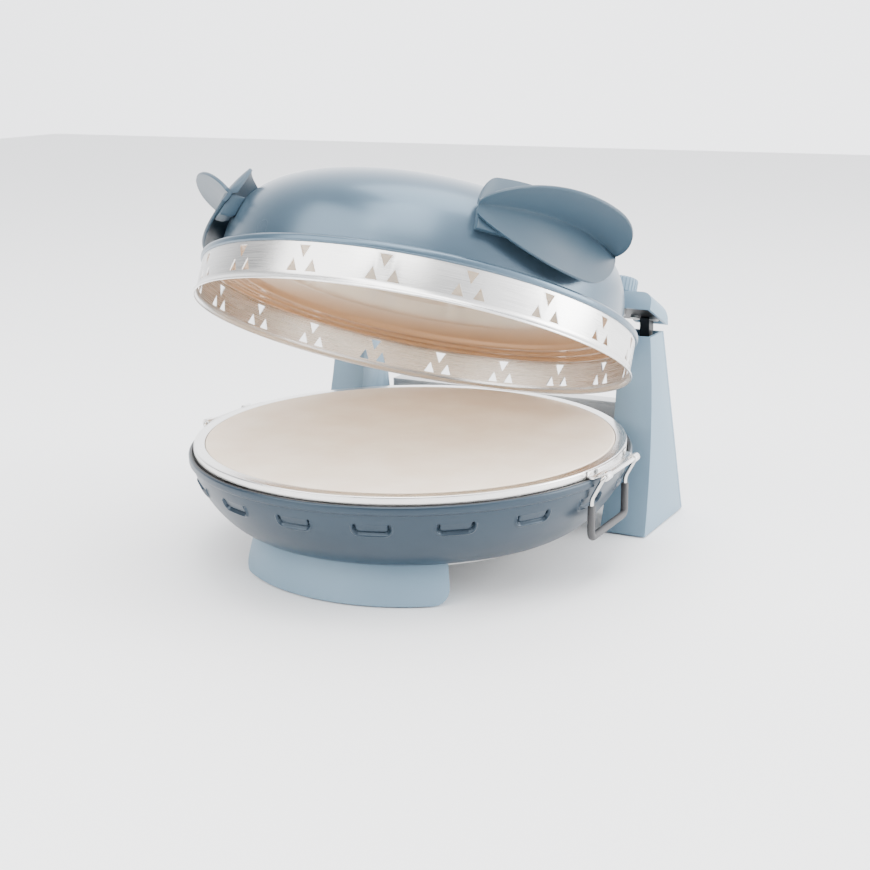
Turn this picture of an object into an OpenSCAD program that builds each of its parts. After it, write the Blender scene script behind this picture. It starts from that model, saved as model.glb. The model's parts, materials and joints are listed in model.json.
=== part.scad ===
// Countertop pizza maker: a round stone oven with a domed lid that tips up on two rear columns.
// Origin: on the table, under the centre of the bowl. X to the right, Y to the back, Z up.
// The lid pieces are drawn in the lid's own frame, with the rim plane at height 0,
// and on_lid() puts them in the open position.

/* [Bowl] */
// Outer radius of the bowl's rolled rim
bowl_r = 170; // [160:1:180]
// Height of the top of the rim above the table
rim_z = 86; // [80:1:95]
// Radius of the bowl's flat floor
floor_r = 128; // [120:1:132]
// Height of the bowl's flat floor above the table
floor_z = 30; // [26:1:34]
// Sheet thickness of the bowl
bowl_wall = 1.2; // [0.8:0.1:2]
// Width of the wall between the step under the rim and the rim's outer edge
rim_step = 3; // [2:0.5:4]
// Height of the rim above its step
rim_h = 7; // [6:0.5:9]
// Number of cooling louvres around the bowl
louvre_n = 18; // [12:1:24]
// Length of one louvre
louvre_len = 26; // [16:1:34]
// Width of a louvre's slot
louvre_h = 3; // [2:0.2:5]
// Height of a louvre's upturned ends
louvre_rise = 8; // [5:0.5:10]
// Height of the louvres' lower slot above the table
louvre_z = 64; // [56:1:68]

/* [Chassis and foot] */
// Gap between the chassis disc under the bowl and the front foot's outer wall
chassis_gap = 1; // [1:1:10]
// Thickness of the chassis plate
chassis_t = 3; // [2:0.5:4]
// Outer radius of the curved front foot
foot_r = 131; // [128:1:134]
// Depth of the front foot from its outer to its inner wall
foot_depth = 27; // [24:1:32]
// Half of the angle that the front foot covers
foot_half = 41; // [30:1:50]
// Wall thickness of the front foot
foot_wall = 3; // [2:0.5:4]
// How far the front foot's outer wall leans in at its top
foot_tuck = 5; // [4:0.5:5]
// How far the front foot's outer wall stands out at the table
foot_flare = 3; // [2:0.5:5]
// Radius of the lower corners at the front foot's ends
foot_round = 12; // [9:1:14]
// Height that the foot mouldings stay above the table
foot_lift = 1.2; // [0.8:0.1:1.8]
// Radius of a rubber pad
pad_r = 9; // [7:0.5:10]
// Thickness of a rubber pad
pad_t = 3; // [2.4:0.2:5]

/* [Columns] */
// Distance of a column's flat inner side from the middle
col_in = 118.6; // [117:0.2:121]
// Distance of a column's outer side from the middle at its top
col_out = 145.5; // [142:0.5:150]
// Distance of a column's outer side from the middle at the table
col_foot_out = 157; // [150:1:165]
// Height of a column's top
col_top = 156; // [152:1:158]
// Distance of a column's front face behind the middle at its top
col_front = 130; // [128:0.5:132]
// How far the front face sweeps forward from its top to the table
col_sweep = 33; // [20:1:36]
// Distance of a column's rear face behind the middle at its top
col_rear = 160; // [156:1:165]
// How far the rear face sweeps back from its top to the table
col_kick = 26; // [15:1:35]
// Wall thickness of a column
col_wall = 2.5; // [2:0.25:3]
// Thickness of a column's rear cover
cover_t = 3; // [2:0.25:3.5]

/* [Rear housing] */
// Gap between the bowl's rim and the housing's front
house_gap = 2.5; // [2:0.5:8]
// Depth of the housing
house_d = 15; // [14:1:24]
// Height of the housing's top above the table
house_top = 89.3; // [80:0.5:91]
// Height of the housing's bottom above the table
house_bottom = 24; // [20:1:36]
// Half of the housing's width
house_half = 115; // [105:1:115]
// Wall thickness of the housing
house_wall = 2.5; // [2:0.25:3]
// Width of the power inlet's mouth
inlet_w = 24; // [20:1:28]
// Height of the power inlet's mouth
inlet_h = 16; // [12:1:20]
// Distance of the power inlet from the middle
inlet_x = 62; // [50:1:80]

/* [Tray and stone] */
// Gap between the outside of the tray's steel ring and the outside of the bowl's rim
tray_gap = 4.1; // [3.6:0.1:10]
// Height of the tray's bottom above the bowl's rim step
tray_lift = 5; // [4:0.5:7]
// Height of the steel ring
tray_h = 8; // [7:0.5:10]
// Sheet thickness of the tray
tray_wall = 1; // [0.8:0.1:1.6]
// Width of the steel ring's flat top
ring_w = 8.4; // [5.4:0.5:15.4]
// Thickness of the baking stone
stone_t = 7.4; // [6:0.2:12]
// How far outside the bowl's rim a bail's hinge lies
bail_out = 3.5; // [3:0.5:8]
// Half of the distance between a bail's legs
bail_half = 32; // [26:1:38]
// How far a bail hangs below its hinge
bail_drop = 46; // [35:1:55]
// How far a bail's legs step in towards the bowl below its hinge
bail_set = 9; // [7:0.5:9]
// Height over which a bail's legs step in
bail_step = 17; // [16:1:20]
// Diameter of a bail's wire
wire_d = 3.2; // [2.6:0.2:4]
// Outer diameter of a bail's sleeve
sleeve_d = 5.6; // [5:0.2:7]
// Length of the sleeve on each leg
sleeve_leg = 24; // [12:1:30]

/* [Lid] */
// Outer radius of the flared lip at the lid's open edge
lip_r = 169; // [168:0.2:170]
// Outer radius of the steel band
band_r = 166.8; // [164:0.2:167.4]
// Height of the steel band
band_h = 27; // [24:1:32]
// Sheet thickness of the steel band
band_wall = 1; // [0.8:0.1:1.4]
// Outer radius of the rolled flange ring above the band
flange_r = 168.5; // [167.5:0.2:169]
// Height of the flange ring
flange_h = 7; // [5:0.5:9]
// Radius of the dome where it leaves the flange ring
dome_r = 155; // [150:0.5:158]
// Height of the dome's top above the lid's open edge
dome_top = 110; // [95:1:120]
// Sheet thickness of the dome
dome_wall = 1.2; // [0.8:0.1:2]
// How square the dome's shoulder is, where 2 is an ellipse
dome_square = 3; // [2.6:0.1:3.4]
// Height of the lid's edge above the table when it is shut
lid_seat = 95; // [94.5:0.5:99]
// Angle that the lid is tipped up from shut
lid_open = 24.6; // [0:0.1:30]

/* [Vents] */
// Number of vent clusters around the band
vent_n = 18; // [12:1:24]
// Width of one vent triangle
vent_w = 8.6; // [6:0.2:10]
// Height of one vent triangle
vent_h = 8.9; // [6:0.1:10]
// Height of the lower vents' base above the lid's open edge
vent_z = 6.5; // [5.5:0.5:8]

/* [Hinge] */
// Distance of the hinge axis behind the middle
hinge_y = 158; // [156:0.5:159]
// Height of the hinge axis above the table
hinge_z = 120; // [118:0.5:122]
// Diameter of a hinge pin
pin_d = 6; // [5:0.5:7]
// Thickness of a steel hinge arm
arm_t = 8; // [6:0.5:9]
// Width of a steel hinge arm
arm_w = 10; // [8:0.5:11]
// Radius of the arm's eye
eye_r = 8; // [7:0.25:8]
// Height of the hinge cover's top above the lid's open edge
cap_top = 79; // [77:0.5:82]
// Height of the hinge cover's lower edge above the lid's open edge
cap_bottom = 65; // [64.5:0.5:67]
// Wall thickness of the hinge cover
cap_wall = 2.5; // [2:0.25:3]

/* [Wing handles] */
// Direction of the wing's front end, in degrees forward of the side
wing_front = 51.5; // [48:0.5:52]
// Direction of the wing's rear end, in degrees forward of the side
wing_rear = 3.5; // [2:0.5:8]
// Radius at the front end of the wing's spine around the dome
wing_r = 162; // [161:0.5:163]
// How much nearer to the dome's axis the spine's rear end is
wing_close = 10; // [8:0.5:10]
// Height of the spine's front end above the lid's open edge
wing_h = 71; // [70:0.5:73]
// How much the spine has risen at its rear end
wing_rise = 4.5; // [4:0.5:7]
// How far the spine bows up between its ends
wing_bow = 6; // [3:0.5:7]
// Thickness of a blade
blade_t = 3; // [2.4:0.2:4]
// Greatest width of the outer blade
outer_w = 34; // [32:1:38]
// Greatest height of the upright blade
upright_w = 26; // [25:1:28]
// Greatest drop of the lower blade
lower_w = 42; // [38:0.5:42]

/* [Control knob] */
// Radius of the knob
knob_r = 12; // [10:0.5:12]
// Height of the knob
knob_h = 12; // [10:1:16]
// Distance of the knob from the middle, to the right
knob_x = 116.5; // [115:0.5:119]
// Distance of the knob behind the middle
knob_y = 112.5; // [111:0.5:116]
// Number of flutes around the knob
flute_n = 24; // [16:2:32]
// Diameter of the knob's spindle
spindle_d = 6; // [5:0.5:6]

/* [Heating] */
// Diameter of a heating element's tube
element_d = 6.5; // [5:0.5:8]
// Radius of the lower heating element's ring
lower_ring_r = 98; // [80:1:105]
// Radius of the upper heating element's ring
upper_ring_r = 118; // [90:1:125]
// Height of the lower pan's floor above the table
pan_z = 46; // [44:1:50]
// Radius of the lower pan's floor
pan_r = 118; // [114:1:120]
// Sheet thickness of the pan and of the reflector
sheet = 0.8; // [0.6:0.1:1]

/* [Fits] */
// Gap between fixed pieces that meet along a curve
seat = 0.3; // [0.2:0.05:0.35]
// Radial clearance of a pin or spindle that turns
running = 0.05; // [0.03:0.01:0.08]
// Radius of the small screws' thread
screw_r = 2; // [1.5:0.1:2.2]
// Radius of the small screws' head
screw_head_r = 3.8; // [3:0.1:4]
// Thickness of the small screws' head
screw_head_h = 2; // [1.5:0.1:2.4]

/* [Hidden] */
$fn = 96;

paint = [0.56, 0.65, 0.71];
plastic = [0.63, 0.71, 0.76];
steel = [0.86, 0.86, 0.85];
zinc = [0.7, 0.71, 0.72];
dark = [0.12, 0.12, 0.13];
ceramic = [0.93, 0.9, 0.82];
e = 0.01;

// What follows the bowl's radius and the foot's: tray, ledge under the stone, the bead below it,
// bail hinges, rear housing and chassis
tray_r = bowl_r - tray_gap;
stone_gap = 0.5;
stone_r = tray_r - ring_w - stone_gap;
ledge_w = 17.9;
ledge_in = tray_r - ledge_w;
bead_w = 4;
bead_r = ledge_in + bead_w + 1;
bail_x = bowl_r + bail_out;
house_y = bowl_r + house_gap;
chassis_r = foot_r - foot_tuck - foot_wall - chassis_gap;

// Bowl: the wall bulges from the floor to the step, then the rim stands on the step.
bowl_square = 1.5;
step_r = bowl_r - rim_step;
step_z = rim_z - rim_h;
step_rise = 1.5;
bowl_steps = 14;
// Ledge inside the rim that the pan's flange lies on, and the flange's own outer radius
ledge_z = step_z + step_rise;
rim_in = bowl_r - bowl_wall;
ledge_r = rim_in - seat;

// Angles and radius of the screws that hold the bowl's floor on the chassis
bowl_screw_a = [20, 160, 200, 340];
bowl_screw_r = 108;

// Tray: it stands on a bead of the pan's flange.
tray_z = step_z + tray_lift;
tray_top = tray_z + tray_h;
stone_chamfer = 1;
bracket_t = 2;
bracket_z = rim_z + seat;
bracket_half = bail_half + 6;
barrel_r = wire_d / 2 + 1.6;
barrel_l = 8;
bail_z = bracket_z + bracket_t / 2;
wire_swell = 0.25;
bail_end = bail_half - wire_d / 2 - seat - barrel_l;
rivet_r = 1;
rivet_a = [-9, 9];
rivet_z = bracket_z + bracket_t + 1.6;
upstand_t = 1;
upstand_a = 12.5;

// Columns
col_base = foot_lift;
arm_x = (col_in + col_out) / 2;
arm_slot = arm_t + 2;
col_pad_x = (col_in + col_foot_out) / 2 - 2;
col_pad_y = [112, 166];
foot_pad_a = 30;
foot_pad_r = foot_r - foot_depth / 2;
cover_screw_z = [24, 88];
cover_screw_x = col_in + 6;
hinge_pin_l = arm_x * 2 - col_in * 2;

// Chassis flanges against the columns and the rear housing's tabs behind them
flange_y = 120;
flange_d = 30;
flange_top = 58;
tab_y = flange_y + flange_d + 2;
tab_low_z = 40;
tab_high_z = 76;
column_screw_yz = [[flange_y + 12, 38], [flange_y + 12, 50], [tab_y + 9, 48], [tab_y + 9, 68]];
inlet_z = 54;
inlet_flange = 3;

// Lid frame
flange_z = band_h;
dome_z = flange_z + flange_h;
dome_steps = 20;
eye_h = hinge_z - lid_seat;
plate_h = cap_bottom + 1;
plate_t = 3;
arm_head_y = hinge_y - 20;
arm_lean = atan2(hinge_y - arm_head_y, plate_h - eye_h);
arm_len = norm([hinge_y - arm_head_y, plate_h - eye_h]);
cap_front_y = 103;
cap_rear_y = 150;
cap_slope_y = 126;
cap_rear_drop = 9;
cap_round = 8;
deck_t = 3;
eye_bush_r = pin_d / 2 + running + 1.8;
tab_from = 42.5;
tab_to = 52;
tab_low = 50;
thermostat_r = 6.5;
arm_screw_xy = [[124, 133], [140, 133]];
plate_y = 109;
plate_d = 34;
arm_tab_t = 3;
deck_in_x = 96;

// Wing lugs: their angle, lower edge, places along the spine and screw height
lug_a = 8;
lug_low = 54;
lug_s = [0.01, 0.68];
wing_screw_h = 64;
blade_steps = 6;
wing_steps = 14;
root_d = 1;

// Reflector and heating
reflector_r = band_r - band_wall - seat;
saddle_w = 10;
saddle_l = 6;
saddle_h = 6;
lower_ring_z = pan_z + 11;
element_gap = 14;
clip_a = [30, 150, 210, 330];
leg_r = element_d / 2;

// Roof of the baking space: corners of its lower side as radius and height, each with how far
// out its upper side lies. The saddles of the upper element stand on its first slope.
roof_h = 52;
roof_z = band_h - sheet;
roof_step = 2.5;
slope_r = reflector_r - 77.5;
slope_z = roof_h - 2;
bend_r = reflector_r - 37.5;
bend_z = roof_h - 8;
roof_line = [[0, roof_h, 0], [slope_r, slope_z, 0], [bend_r, bend_z, 0.4],
  [reflector_r - 23.5, roof_h - 16, 0.7], [reflector_r - 21.5, roof_z + 2 * roof_step, 0.7],
  [reflector_r - 13.5, roof_z + 2 * roof_step, 0.6], [reflector_r - 12.5, roof_z + roof_step, 0.6],
  [reflector_r - 5.5, roof_z + roof_step, 0.7], [reflector_r - 4.5, roof_z, 0.7],
  [reflector_r, roof_z, 0]];
upper_foot_z = roof_at(upper_ring_r - saddle_w / 2) + seat;
upper_ring_h = upper_foot_z + saddle_h;

/* ---- Curves ---- */

// Bulging wall from (r, z) outwards by dr and upwards by dz
function bulge(r, z, dr, dz, m, n) = [for (i = [0 : n]) let (a = 90 * i / n)
  [r + dr * pow(sin(a), 2 / m), z + dz * (1 - pow(cos(a), 2 / m))]];

// Dome curve from its foot at (r, z) to its top on the axis
function dome_curve(r, z, top, m, n) = [for (i = [0 : n]) let (a = 90 * i / n)
  [r * pow(cos(a), 2 / m), z + (top - z) * pow(sin(a), 2 / m)]];

// Radius of the dome's outside at height h
function dome_at(h) = dome_r * pow(1 - pow((h - dome_z) / (dome_top - dome_z), dome_square),
  1 / dome_square);

// Radius of the bowl's outside at height z, between the floor and the step
function bowl_at(z) = floor_r + (step_r - floor_r) *
  pow(1 - pow(1 - (z - floor_z) / (step_z - floor_z), bowl_square), 1 / bowl_square);

function reverse(v) = [for (i = [len(v) - 1 : -1 : 0]) v[i]];

/* ---- Shared shapes ---- */

// Pan-head screw along Z: the head's seat at 0, the head above it and the thread below
module screw(length) {
  cylinder(r = screw_head_r, h = screw_head_h);
  translate([0, 0, -length]) cylinder(r = screw_r, h = length + e);
}

module on_lid() {
  translate([0, hinge_y, hinge_z]) rotate([-lid_open, 0, 0])
    translate([0, -hinge_y, lid_seat - hinge_z]) children();
}

module right_left() {
  children();
  mirror([1, 0, 0]) children();
}

// Section of a ring element: a tube bent to an open circle with two legs at its ends
module ring_element(ring_r, leg_len) {
  gap = asin(element_gap / ring_r);
  rotate([0, 0, 90 + gap]) rotate_extrude(angle = 360 - 2 * gap)
    translate([ring_r, 0]) circle(r = leg_r);
  for (s = [-1, 1]) rotate([0, 0, 90 + s * gap]) translate([ring_r, 0, 0]) {
    sphere(r = leg_r);
    cylinder(r = leg_r, h = leg_len);
  }
}

/* ---- Bowl and lower heating ---- */

module bowl_section() {
  outer = bulge(floor_r, floor_z, step_r - floor_r, step_z - floor_z, bowl_square, bowl_steps);
  inner = bulge(floor_r - bowl_wall, floor_z + bowl_wall, step_r - floor_r,
    step_z - floor_z - bowl_wall, bowl_square, bowl_steps);
  polygon(concat([[0, floor_z]], outer,
    [[step_r + rim_step * 0.6, step_z + 0.4], [bowl_r, step_z + step_rise], [bowl_r, rim_z - 1.2],
     [bowl_r - 0.6, rim_z - 0.3], [bowl_r - 1.4, rim_z], [bowl_r - 2.6, rim_z],
     [bowl_r - 2.6, rim_z - bowl_wall], [rim_in, rim_z - bowl_wall], [rim_in, ledge_z],
     [step_r - bowl_wall, ledge_z]], reverse(inner), [[0, floor_z + bowl_wall]]));
}

// One louvre: a long slot whose ends turn up
module louvre_cut() {
  depth = 14;
  r = bowl_at(louvre_z);
  translate([r - depth / 2, 0, louvre_z]) rotate([0, 35, 0]) {
    translate([-depth / 2, -louvre_len / 2, -louvre_h / 2]) cube([depth * 1.5, louvre_len, louvre_h]);
    for (s = [-1, 1]) translate([-depth / 2, s * (louvre_len / 2) - louvre_h / 2, -louvre_h / 2])
      cube([depth * 1.5, louvre_h, louvre_rise]);
  }
}

module base_bowl() {
  color(paint) difference() {
    rotate_extrude() bowl_section();
    for (i = [0 : louvre_n - 1]) rotate([0, 0, -90 + 360 * i / louvre_n]) louvre_cut();
    for (a = bowl_screw_a) rotate([0, 0, a]) translate([bowl_screw_r, 0, floor_z - e])
      cylinder(r = screw_r + seat, h = bowl_wall + 2 * e);
  }
}

// Screws that hold the bowl's floor on the chassis
module bowl_screws() {
  color(zinc) for (a = bowl_screw_a) rotate([0, 0, a])
    translate([bowl_screw_r, 0, floor_z + bowl_wall]) screw(bowl_wall + chassis_t);
}

module lower_pan() {
  color(dark) difference() {
    rotate_extrude() polygon([[0, pan_z - sheet], [pan_r, pan_z - sheet],
      [bead_r - bead_w, ledge_z - 4], [bead_r - bead_w, ledge_z], [ledge_r, ledge_z],
      [ledge_r, ledge_z + sheet], [bead_r + bead_w / 2, ledge_z + sheet],
      [bead_r + bead_w / 2, tray_z], [bead_r - bead_w / 2, tray_z],
      [bead_r - bead_w / 2, ledge_z + sheet], [bead_r - bead_w - sheet, ledge_z + sheet],
      [bead_r - bead_w - sheet, ledge_z - 4 + sheet / 2], [pan_r - sheet, pan_z], [0, pan_z]]);
    for (s = [-1, 1]) rotate([0, 0, 90 + s * asin(element_gap / lower_ring_r)])
      translate([lower_ring_r, 0, pan_z - sheet - e]) cylinder(r = leg_r + 1, h = sheet + 2 * e);
  }
}

module lower_element() {
  color(zinc) translate([0, 0, lower_ring_z]) mirror([0, 0, 1])
    ring_element(lower_ring_r, lower_ring_z - floor_z - 6);
}

// Saddles that carry the ring on the pan
module element_clips() {
  color(steel) for (a = clip_a) rotate([0, 0, a])
    translate([lower_ring_r - saddle_w / 2, -saddle_l / 2, pan_z]) difference() {
      cube([saddle_w, saddle_l, lower_ring_z - pan_z]);
      translate([saddle_w / 2, -e, lower_ring_z - pan_z]) rotate([-90, 0, 0])
        cylinder(r = leg_r + seat, h = saddle_l + 2 * e);
    }
}

module element_insulators() {
  color(ceramic) for (s = [-1, 1]) rotate([0, 0, 90 + s * asin(element_gap / lower_ring_r)])
    translate([lower_ring_r, 0, floor_z + bowl_wall]) difference() {
      cylinder(r = leg_r + 3.5, h = pan_z - sheet - floor_z - bowl_wall);
      translate([0, 0, -e]) cylinder(r = leg_r + running, h = pan_z);
    }
}

module thermal_cutout() {
  color(ceramic) {
    translate([0, 0, pan_z - sheet - 7]) cylinder(r = 8, h = 7);
    translate([-9, -2, pan_z - sheet - 1]) cube([18, 4, 1]);
  }
}

/* ---- Chassis, foot, columns ---- */

module chassis_plate() {
  z = floor_z - chassis_t;
  x = col_in - seat;
  color(zinc) difference() {
    union() {
      translate([0, 0, z]) cylinder(r = chassis_r, h = chassis_t);
      right_left() {
        translate([60, 90, z]) cube([x - 60, flange_y + flange_d - 90, chassis_t]);
        translate([x - chassis_t, flange_y, z]) cube([chassis_t, flange_d, flange_top - z]);
      }
    }
    column_screw_holes();
    for (a = bowl_screw_a) rotate([0, 0, a]) translate([bowl_screw_r, 0, z - e])
      cylinder(r = screw_r + running, h = chassis_t + 2 * e);
    for (a = [-1, 1]) rotate([0, 0, -90 + a * foot_pad_a * 0.5])
      translate([foot_pad_r, 0, z - e]) cylinder(r = screw_r + seat, h = chassis_t + 2 * e);
  }
}

// Holes for the screws that go from the middle outwards into the columns
module column_screw_holes() {
  right_left() for (p = column_screw_yz) translate([col_in - seat - chassis_t - e, p[0], p[1]])
    rotate([0, 90, 0]) cylinder(r = screw_r + seat, h = chassis_t + 2 * e);
}

module foot_arc(angle) {
  rotate([0, 0, -90 - angle / 2]) rotate_extrude(angle = angle) children();
}

// Cuts for the lower corners at both ends of an arc, rounded to radius r from height z up
module foot_corners(half, r, z) {
  for (s = [-1, 1]) rotate([0, 0, -90 + s * half]) translate([foot_r - foot_depth - 1, 0, z])
    rotate([90, 0, 90]) linear_extrude(foot_depth + foot_flare + 2) polygon(concat(
      [[s, -foot_wall - 2], [-s * r, -foot_wall - 2]],
      [for (k = [0 : 6]) [-s * r * (1 - sin(15 * k)), r * (1 - cos(15 * k))]], [[s, r]]));
}

module front_foot() {
  plate = floor_z - chassis_t;
  inner = foot_r - foot_depth;
  top = floor_z - seat;
  room_half = foot_half - asin(foot_wall / foot_r);
  color(plastic) difference() {
    union() {
      difference() {
        foot_arc(2 * foot_half) polygon([[inner, col_base], [foot_r + foot_flare, col_base],
          [foot_r - foot_tuck, top], [foot_r - foot_tuck - foot_wall, top],
          [foot_r - foot_tuck - foot_wall, plate], [inner, plate]]);
        foot_corners(foot_half, foot_round, col_base);
        difference() {
          foot_arc(2 * room_half) polygon([[inner + foot_wall, col_base - 1],
            [foot_r + foot_flare - foot_wall, col_base - 1],
            [foot_r - foot_tuck - foot_wall, plate - foot_wall], [inner + foot_wall, plate - foot_wall]]);
          foot_corners(room_half, foot_round - foot_wall, col_base + foot_wall);
        }
      }
      for (s = [-1, 1]) rotate([0, 0, -90 + s * foot_pad_a]) translate([foot_pad_r, 0, pad_t])
        cylinder(r = 6, h = plate - foot_wall - pad_t + e);
      for (s = [-1, 1]) rotate([0, 0, -90 + s * foot_pad_a * 0.5])
        translate([foot_pad_r, 0, plate - 14]) cylinder(r = 5, h = 14 - foot_wall + e);
    }
    for (s = [-1, 1]) rotate([0, 0, -90 + s * foot_pad_a * 0.5])
      translate([foot_pad_r, 0, plate - 12]) cylinder(r = screw_r + running, h = 12 + e);
  }
}

// Studs that end flush with the top of the chassis plate
module foot_screws() {
  color(zinc) for (s = [-1, 1]) rotate([0, 0, -90 + s * foot_pad_a * 0.5])
    translate([foot_pad_r, 0, floor_z - chassis_t - 11]) cylinder(r = screw_r, h = 11 + chassis_t);
}

module foot_pads() {
  color(dark) {
    for (s = [-1, 1]) rotate([0, 0, -90 + s * foot_pad_a]) translate([foot_pad_r, 0, 0])
      cylinder(r = pad_r, h = pad_t);
    right_left() for (y = col_pad_y) translate([col_pad_x, y, 0]) cylinder(r = pad_r, h = pad_t);
  }
}

// How far down the column a height is, from 0 at its top to 1 at the table
function col_down(z) = (col_top - z) / col_top;
function col_front_at(z) = col_front - col_sweep * pow(col_down(z), 2);
function col_rear_at(z) = col_rear + col_kick * col_down(z);
function col_out_at(z) = col_out + (col_foot_out - col_out) * col_down(z);

// Solid of a right-hand column between the heights low and high, drawn in by inset
module column_solid(inset, low, high, rear_inset) {
  n = 8;
  zs = [for (i = [0 : n]) low + (high - low) * i / n];
  intersection() {
    translate([col_in - 1, 0, 0]) rotate([90, 0, 90]) linear_extrude(col_foot_out - col_in + 2)
      polygon(concat([for (z = zs) [col_front_at(z) + inset, z]],
        [[col_rear_at(high) - rear_inset, high], [col_rear_at(low) - rear_inset, low]]));
    translate([0, col_rear + col_kick + 5, 0]) rotate([90, 0, 0])
      linear_extrude(col_kick + col_sweep + col_rear - col_front + 10)
      polygon([[col_in + inset, low], [col_out_at(low) - inset, low],
        [col_out_at(high) - inset, high], [col_in + inset, high]]);
  }
}

module column() {
  boss_l = arm_x - arm_slot / 2 - col_in - 1;
  difference() {
    union() {
      difference() {
        column_solid(0, col_base, col_top, cover_t + seat);
        column_solid(col_wall, col_base + col_wall, col_top + 1, -1);
      }
      // bosses that hold the hinge pin
      intersection() {
        column_solid(0, col_base, col_top, cover_t + seat + 0.5);
        translate([col_in, hinge_y, hinge_z]) rotate([0, 90, 0]) difference() {
          cylinder(r = pin_d / 2 + 3, h = col_foot_out - col_in);
          translate([0, 0, boss_l]) cylinder(r = pin_d, h = arm_slot + 2);
        }
      }
      // pillars over the rubber pads
      for (y = col_pad_y) translate([col_pad_x, y, col_base]) cylinder(r = pad_r + 2, h = pad_t + 2);
      // posts for the rear cover's screws
      for (z = cover_screw_z) translate([col_in + 1, col_rear_at(z) - cover_t - seat - 10, z - 5])
        cube([10, 9, 10]);
    }
    translate([col_in - e, hinge_y, hinge_z]) rotate([0, 90, 0])
      cylinder(r = pin_d / 2 + running, h = hinge_pin_l + 2 * e + 0.2);
    for (y = col_pad_y) translate([col_pad_x, y, col_base - 1]) cylinder(r = pad_r + seat, h = pad_t - col_base + 1);
    for (p = column_screw_yz) translate([col_in - e, p[0], p[1]]) rotate([0, 90, 0])
      cylinder(r = screw_r + running, h = col_wall + 1);
    for (z = cover_screw_z) translate([cover_screw_x, col_rear_at(z), z]) rotate([90, 0, 0])
      cylinder(r = screw_r + running, h = 12);
  }
}

module right_column() { color(plastic) column(); }
module left_column() { color(plastic) mirror([1, 0, 0]) column(); }

module rear_cover() {
  difference() {
    intersection() {
      column_solid(0, col_base, col_top, 0);
      translate([col_in - 1, 0, 0]) rotate([90, 0, 90]) linear_extrude(col_foot_out - col_in + 2)
        polygon([[col_rear_at(col_base) - cover_t, col_base], [col_rear_at(col_base), col_base],
          [col_rear_at(col_top), col_top], [col_rear_at(col_top) - cover_t, col_top]]);
    }
    // slot that the hinge arm swings back into
    translate([arm_x - arm_slot / 2, hinge_y - eye_r, hinge_z - eye_r - 1.5])
      cube([arm_slot, 3 * eye_r, col_top]);
    for (z = cover_screw_z) translate([cover_screw_x, col_rear_at(z) + 1, z]) rotate([90, 0, 0]) {
      cylinder(r = screw_r + seat, h = cover_t + 3);
      translate([0, 0, -3]) cylinder(r = screw_head_r + seat, h = 3 + 2.4);
    }
  }
}

module right_rear_cover() { color(plastic) rear_cover(); }
module left_rear_cover() { color(plastic) mirror([1, 0, 0]) rear_cover(); }

// Short pins in the covers' counterbores
module cover_screws() {
  color(zinc) right_left() for (z = cover_screw_z)
    translate([cover_screw_x, col_rear_at(z) - 1.4, z]) rotate([90, 0, 0]) {
      translate([0, 0, -e]) cylinder(r = screw_r, h = 8);
      translate([0, 0, -1.2]) cylinder(r = screw_head_r - 0.3, h = 1.2);
    }
}

module column_screws() {
  x = col_in - seat - chassis_t;
  color(zinc) right_left() for (p = column_screw_yz) translate([x, p[0], p[1]])
    rotate([0, -90, 0]) screw(chassis_t + seat + col_wall);
}

module hinge_pins() {
  color(steel) right_left() translate([col_in + 0.1, hinge_y, hinge_z]) rotate([0, 90, 0])
    cylinder(d = pin_d, h = hinge_pin_l);
}

/* ---- Rear housing ---- */

module rear_housing() {
  w = 2 * house_half;
  h = house_top - house_bottom;
  x = col_in - seat;
  color(plastic) difference() {
    union() {
      translate([-house_half, house_y, house_bottom]) cube([w, house_d, h]);
      right_left() {
        translate([x - 3, tab_y, tab_low_z]) cube([3, house_y - tab_y + 12, tab_high_z - tab_low_z]);
        translate([house_half - 3, house_y + 4, tab_low_z])
          cube([x - house_half + 3, 8, tab_high_z - tab_low_z]);
      }
    }
    translate([-house_half + house_wall, house_y - e, house_bottom + house_wall])
      cube([w - 2 * house_wall, house_d - house_wall + e, h - 2 * house_wall]);
    column_screw_holes();
    translate([inlet_x - inlet_w / 2 - 2 - running, house_y, inlet_z - inlet_h / 2 - 2 - running])
      cube([inlet_w + 4 + 2 * running, house_d + 1, inlet_h + 4 + 2 * running]);
  }
}

// Plate that closes the housing towards the bowl
module housing_front() {
  g = house_wall + seat;
  color(plastic) translate([-house_half + g, house_y, house_bottom + g])
    cube([2 * (house_half - g), 2, house_top - house_bottom - 2 * g]);
}

module power_inlet() {
  depth = house_d - 3;
  color(dark) translate([inlet_x, house_y + house_d, inlet_z]) difference() {
    union() {
      translate([-inlet_w / 2 - 2, -depth, -inlet_h / 2 - 2]) cube([inlet_w + 4, depth + 1, inlet_h + 4]);
      translate([-inlet_w / 2 - 2 - inlet_flange, 0, -inlet_h / 2 - 2 - inlet_flange])
        cube([inlet_w + 4 + 2 * inlet_flange, 2, inlet_h + 4 + 2 * inlet_flange]);
    }
    translate([-inlet_w / 2, 2 - depth, -inlet_h / 2]) cube([inlet_w, depth + 1, inlet_h]);
    for (x = [-1, 0, 1]) translate([x * 7, 3 - depth, x == 0 ? 2 : -2]) rotate([90, 0, 0])
      cylinder(r = 1 + running, h = 5);
  }
}

module inlet_pins() {
  depth = house_d - 3;
  color(zinc) translate([inlet_x, house_y + house_d, inlet_z])
    for (x = [-1, 0, 1]) translate([x * 7, -4, x == 0 ? 2 : -2]) rotate([90, 0, 0])
      cylinder(r = 1, h = depth - 4 + 0.4);
}

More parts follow.
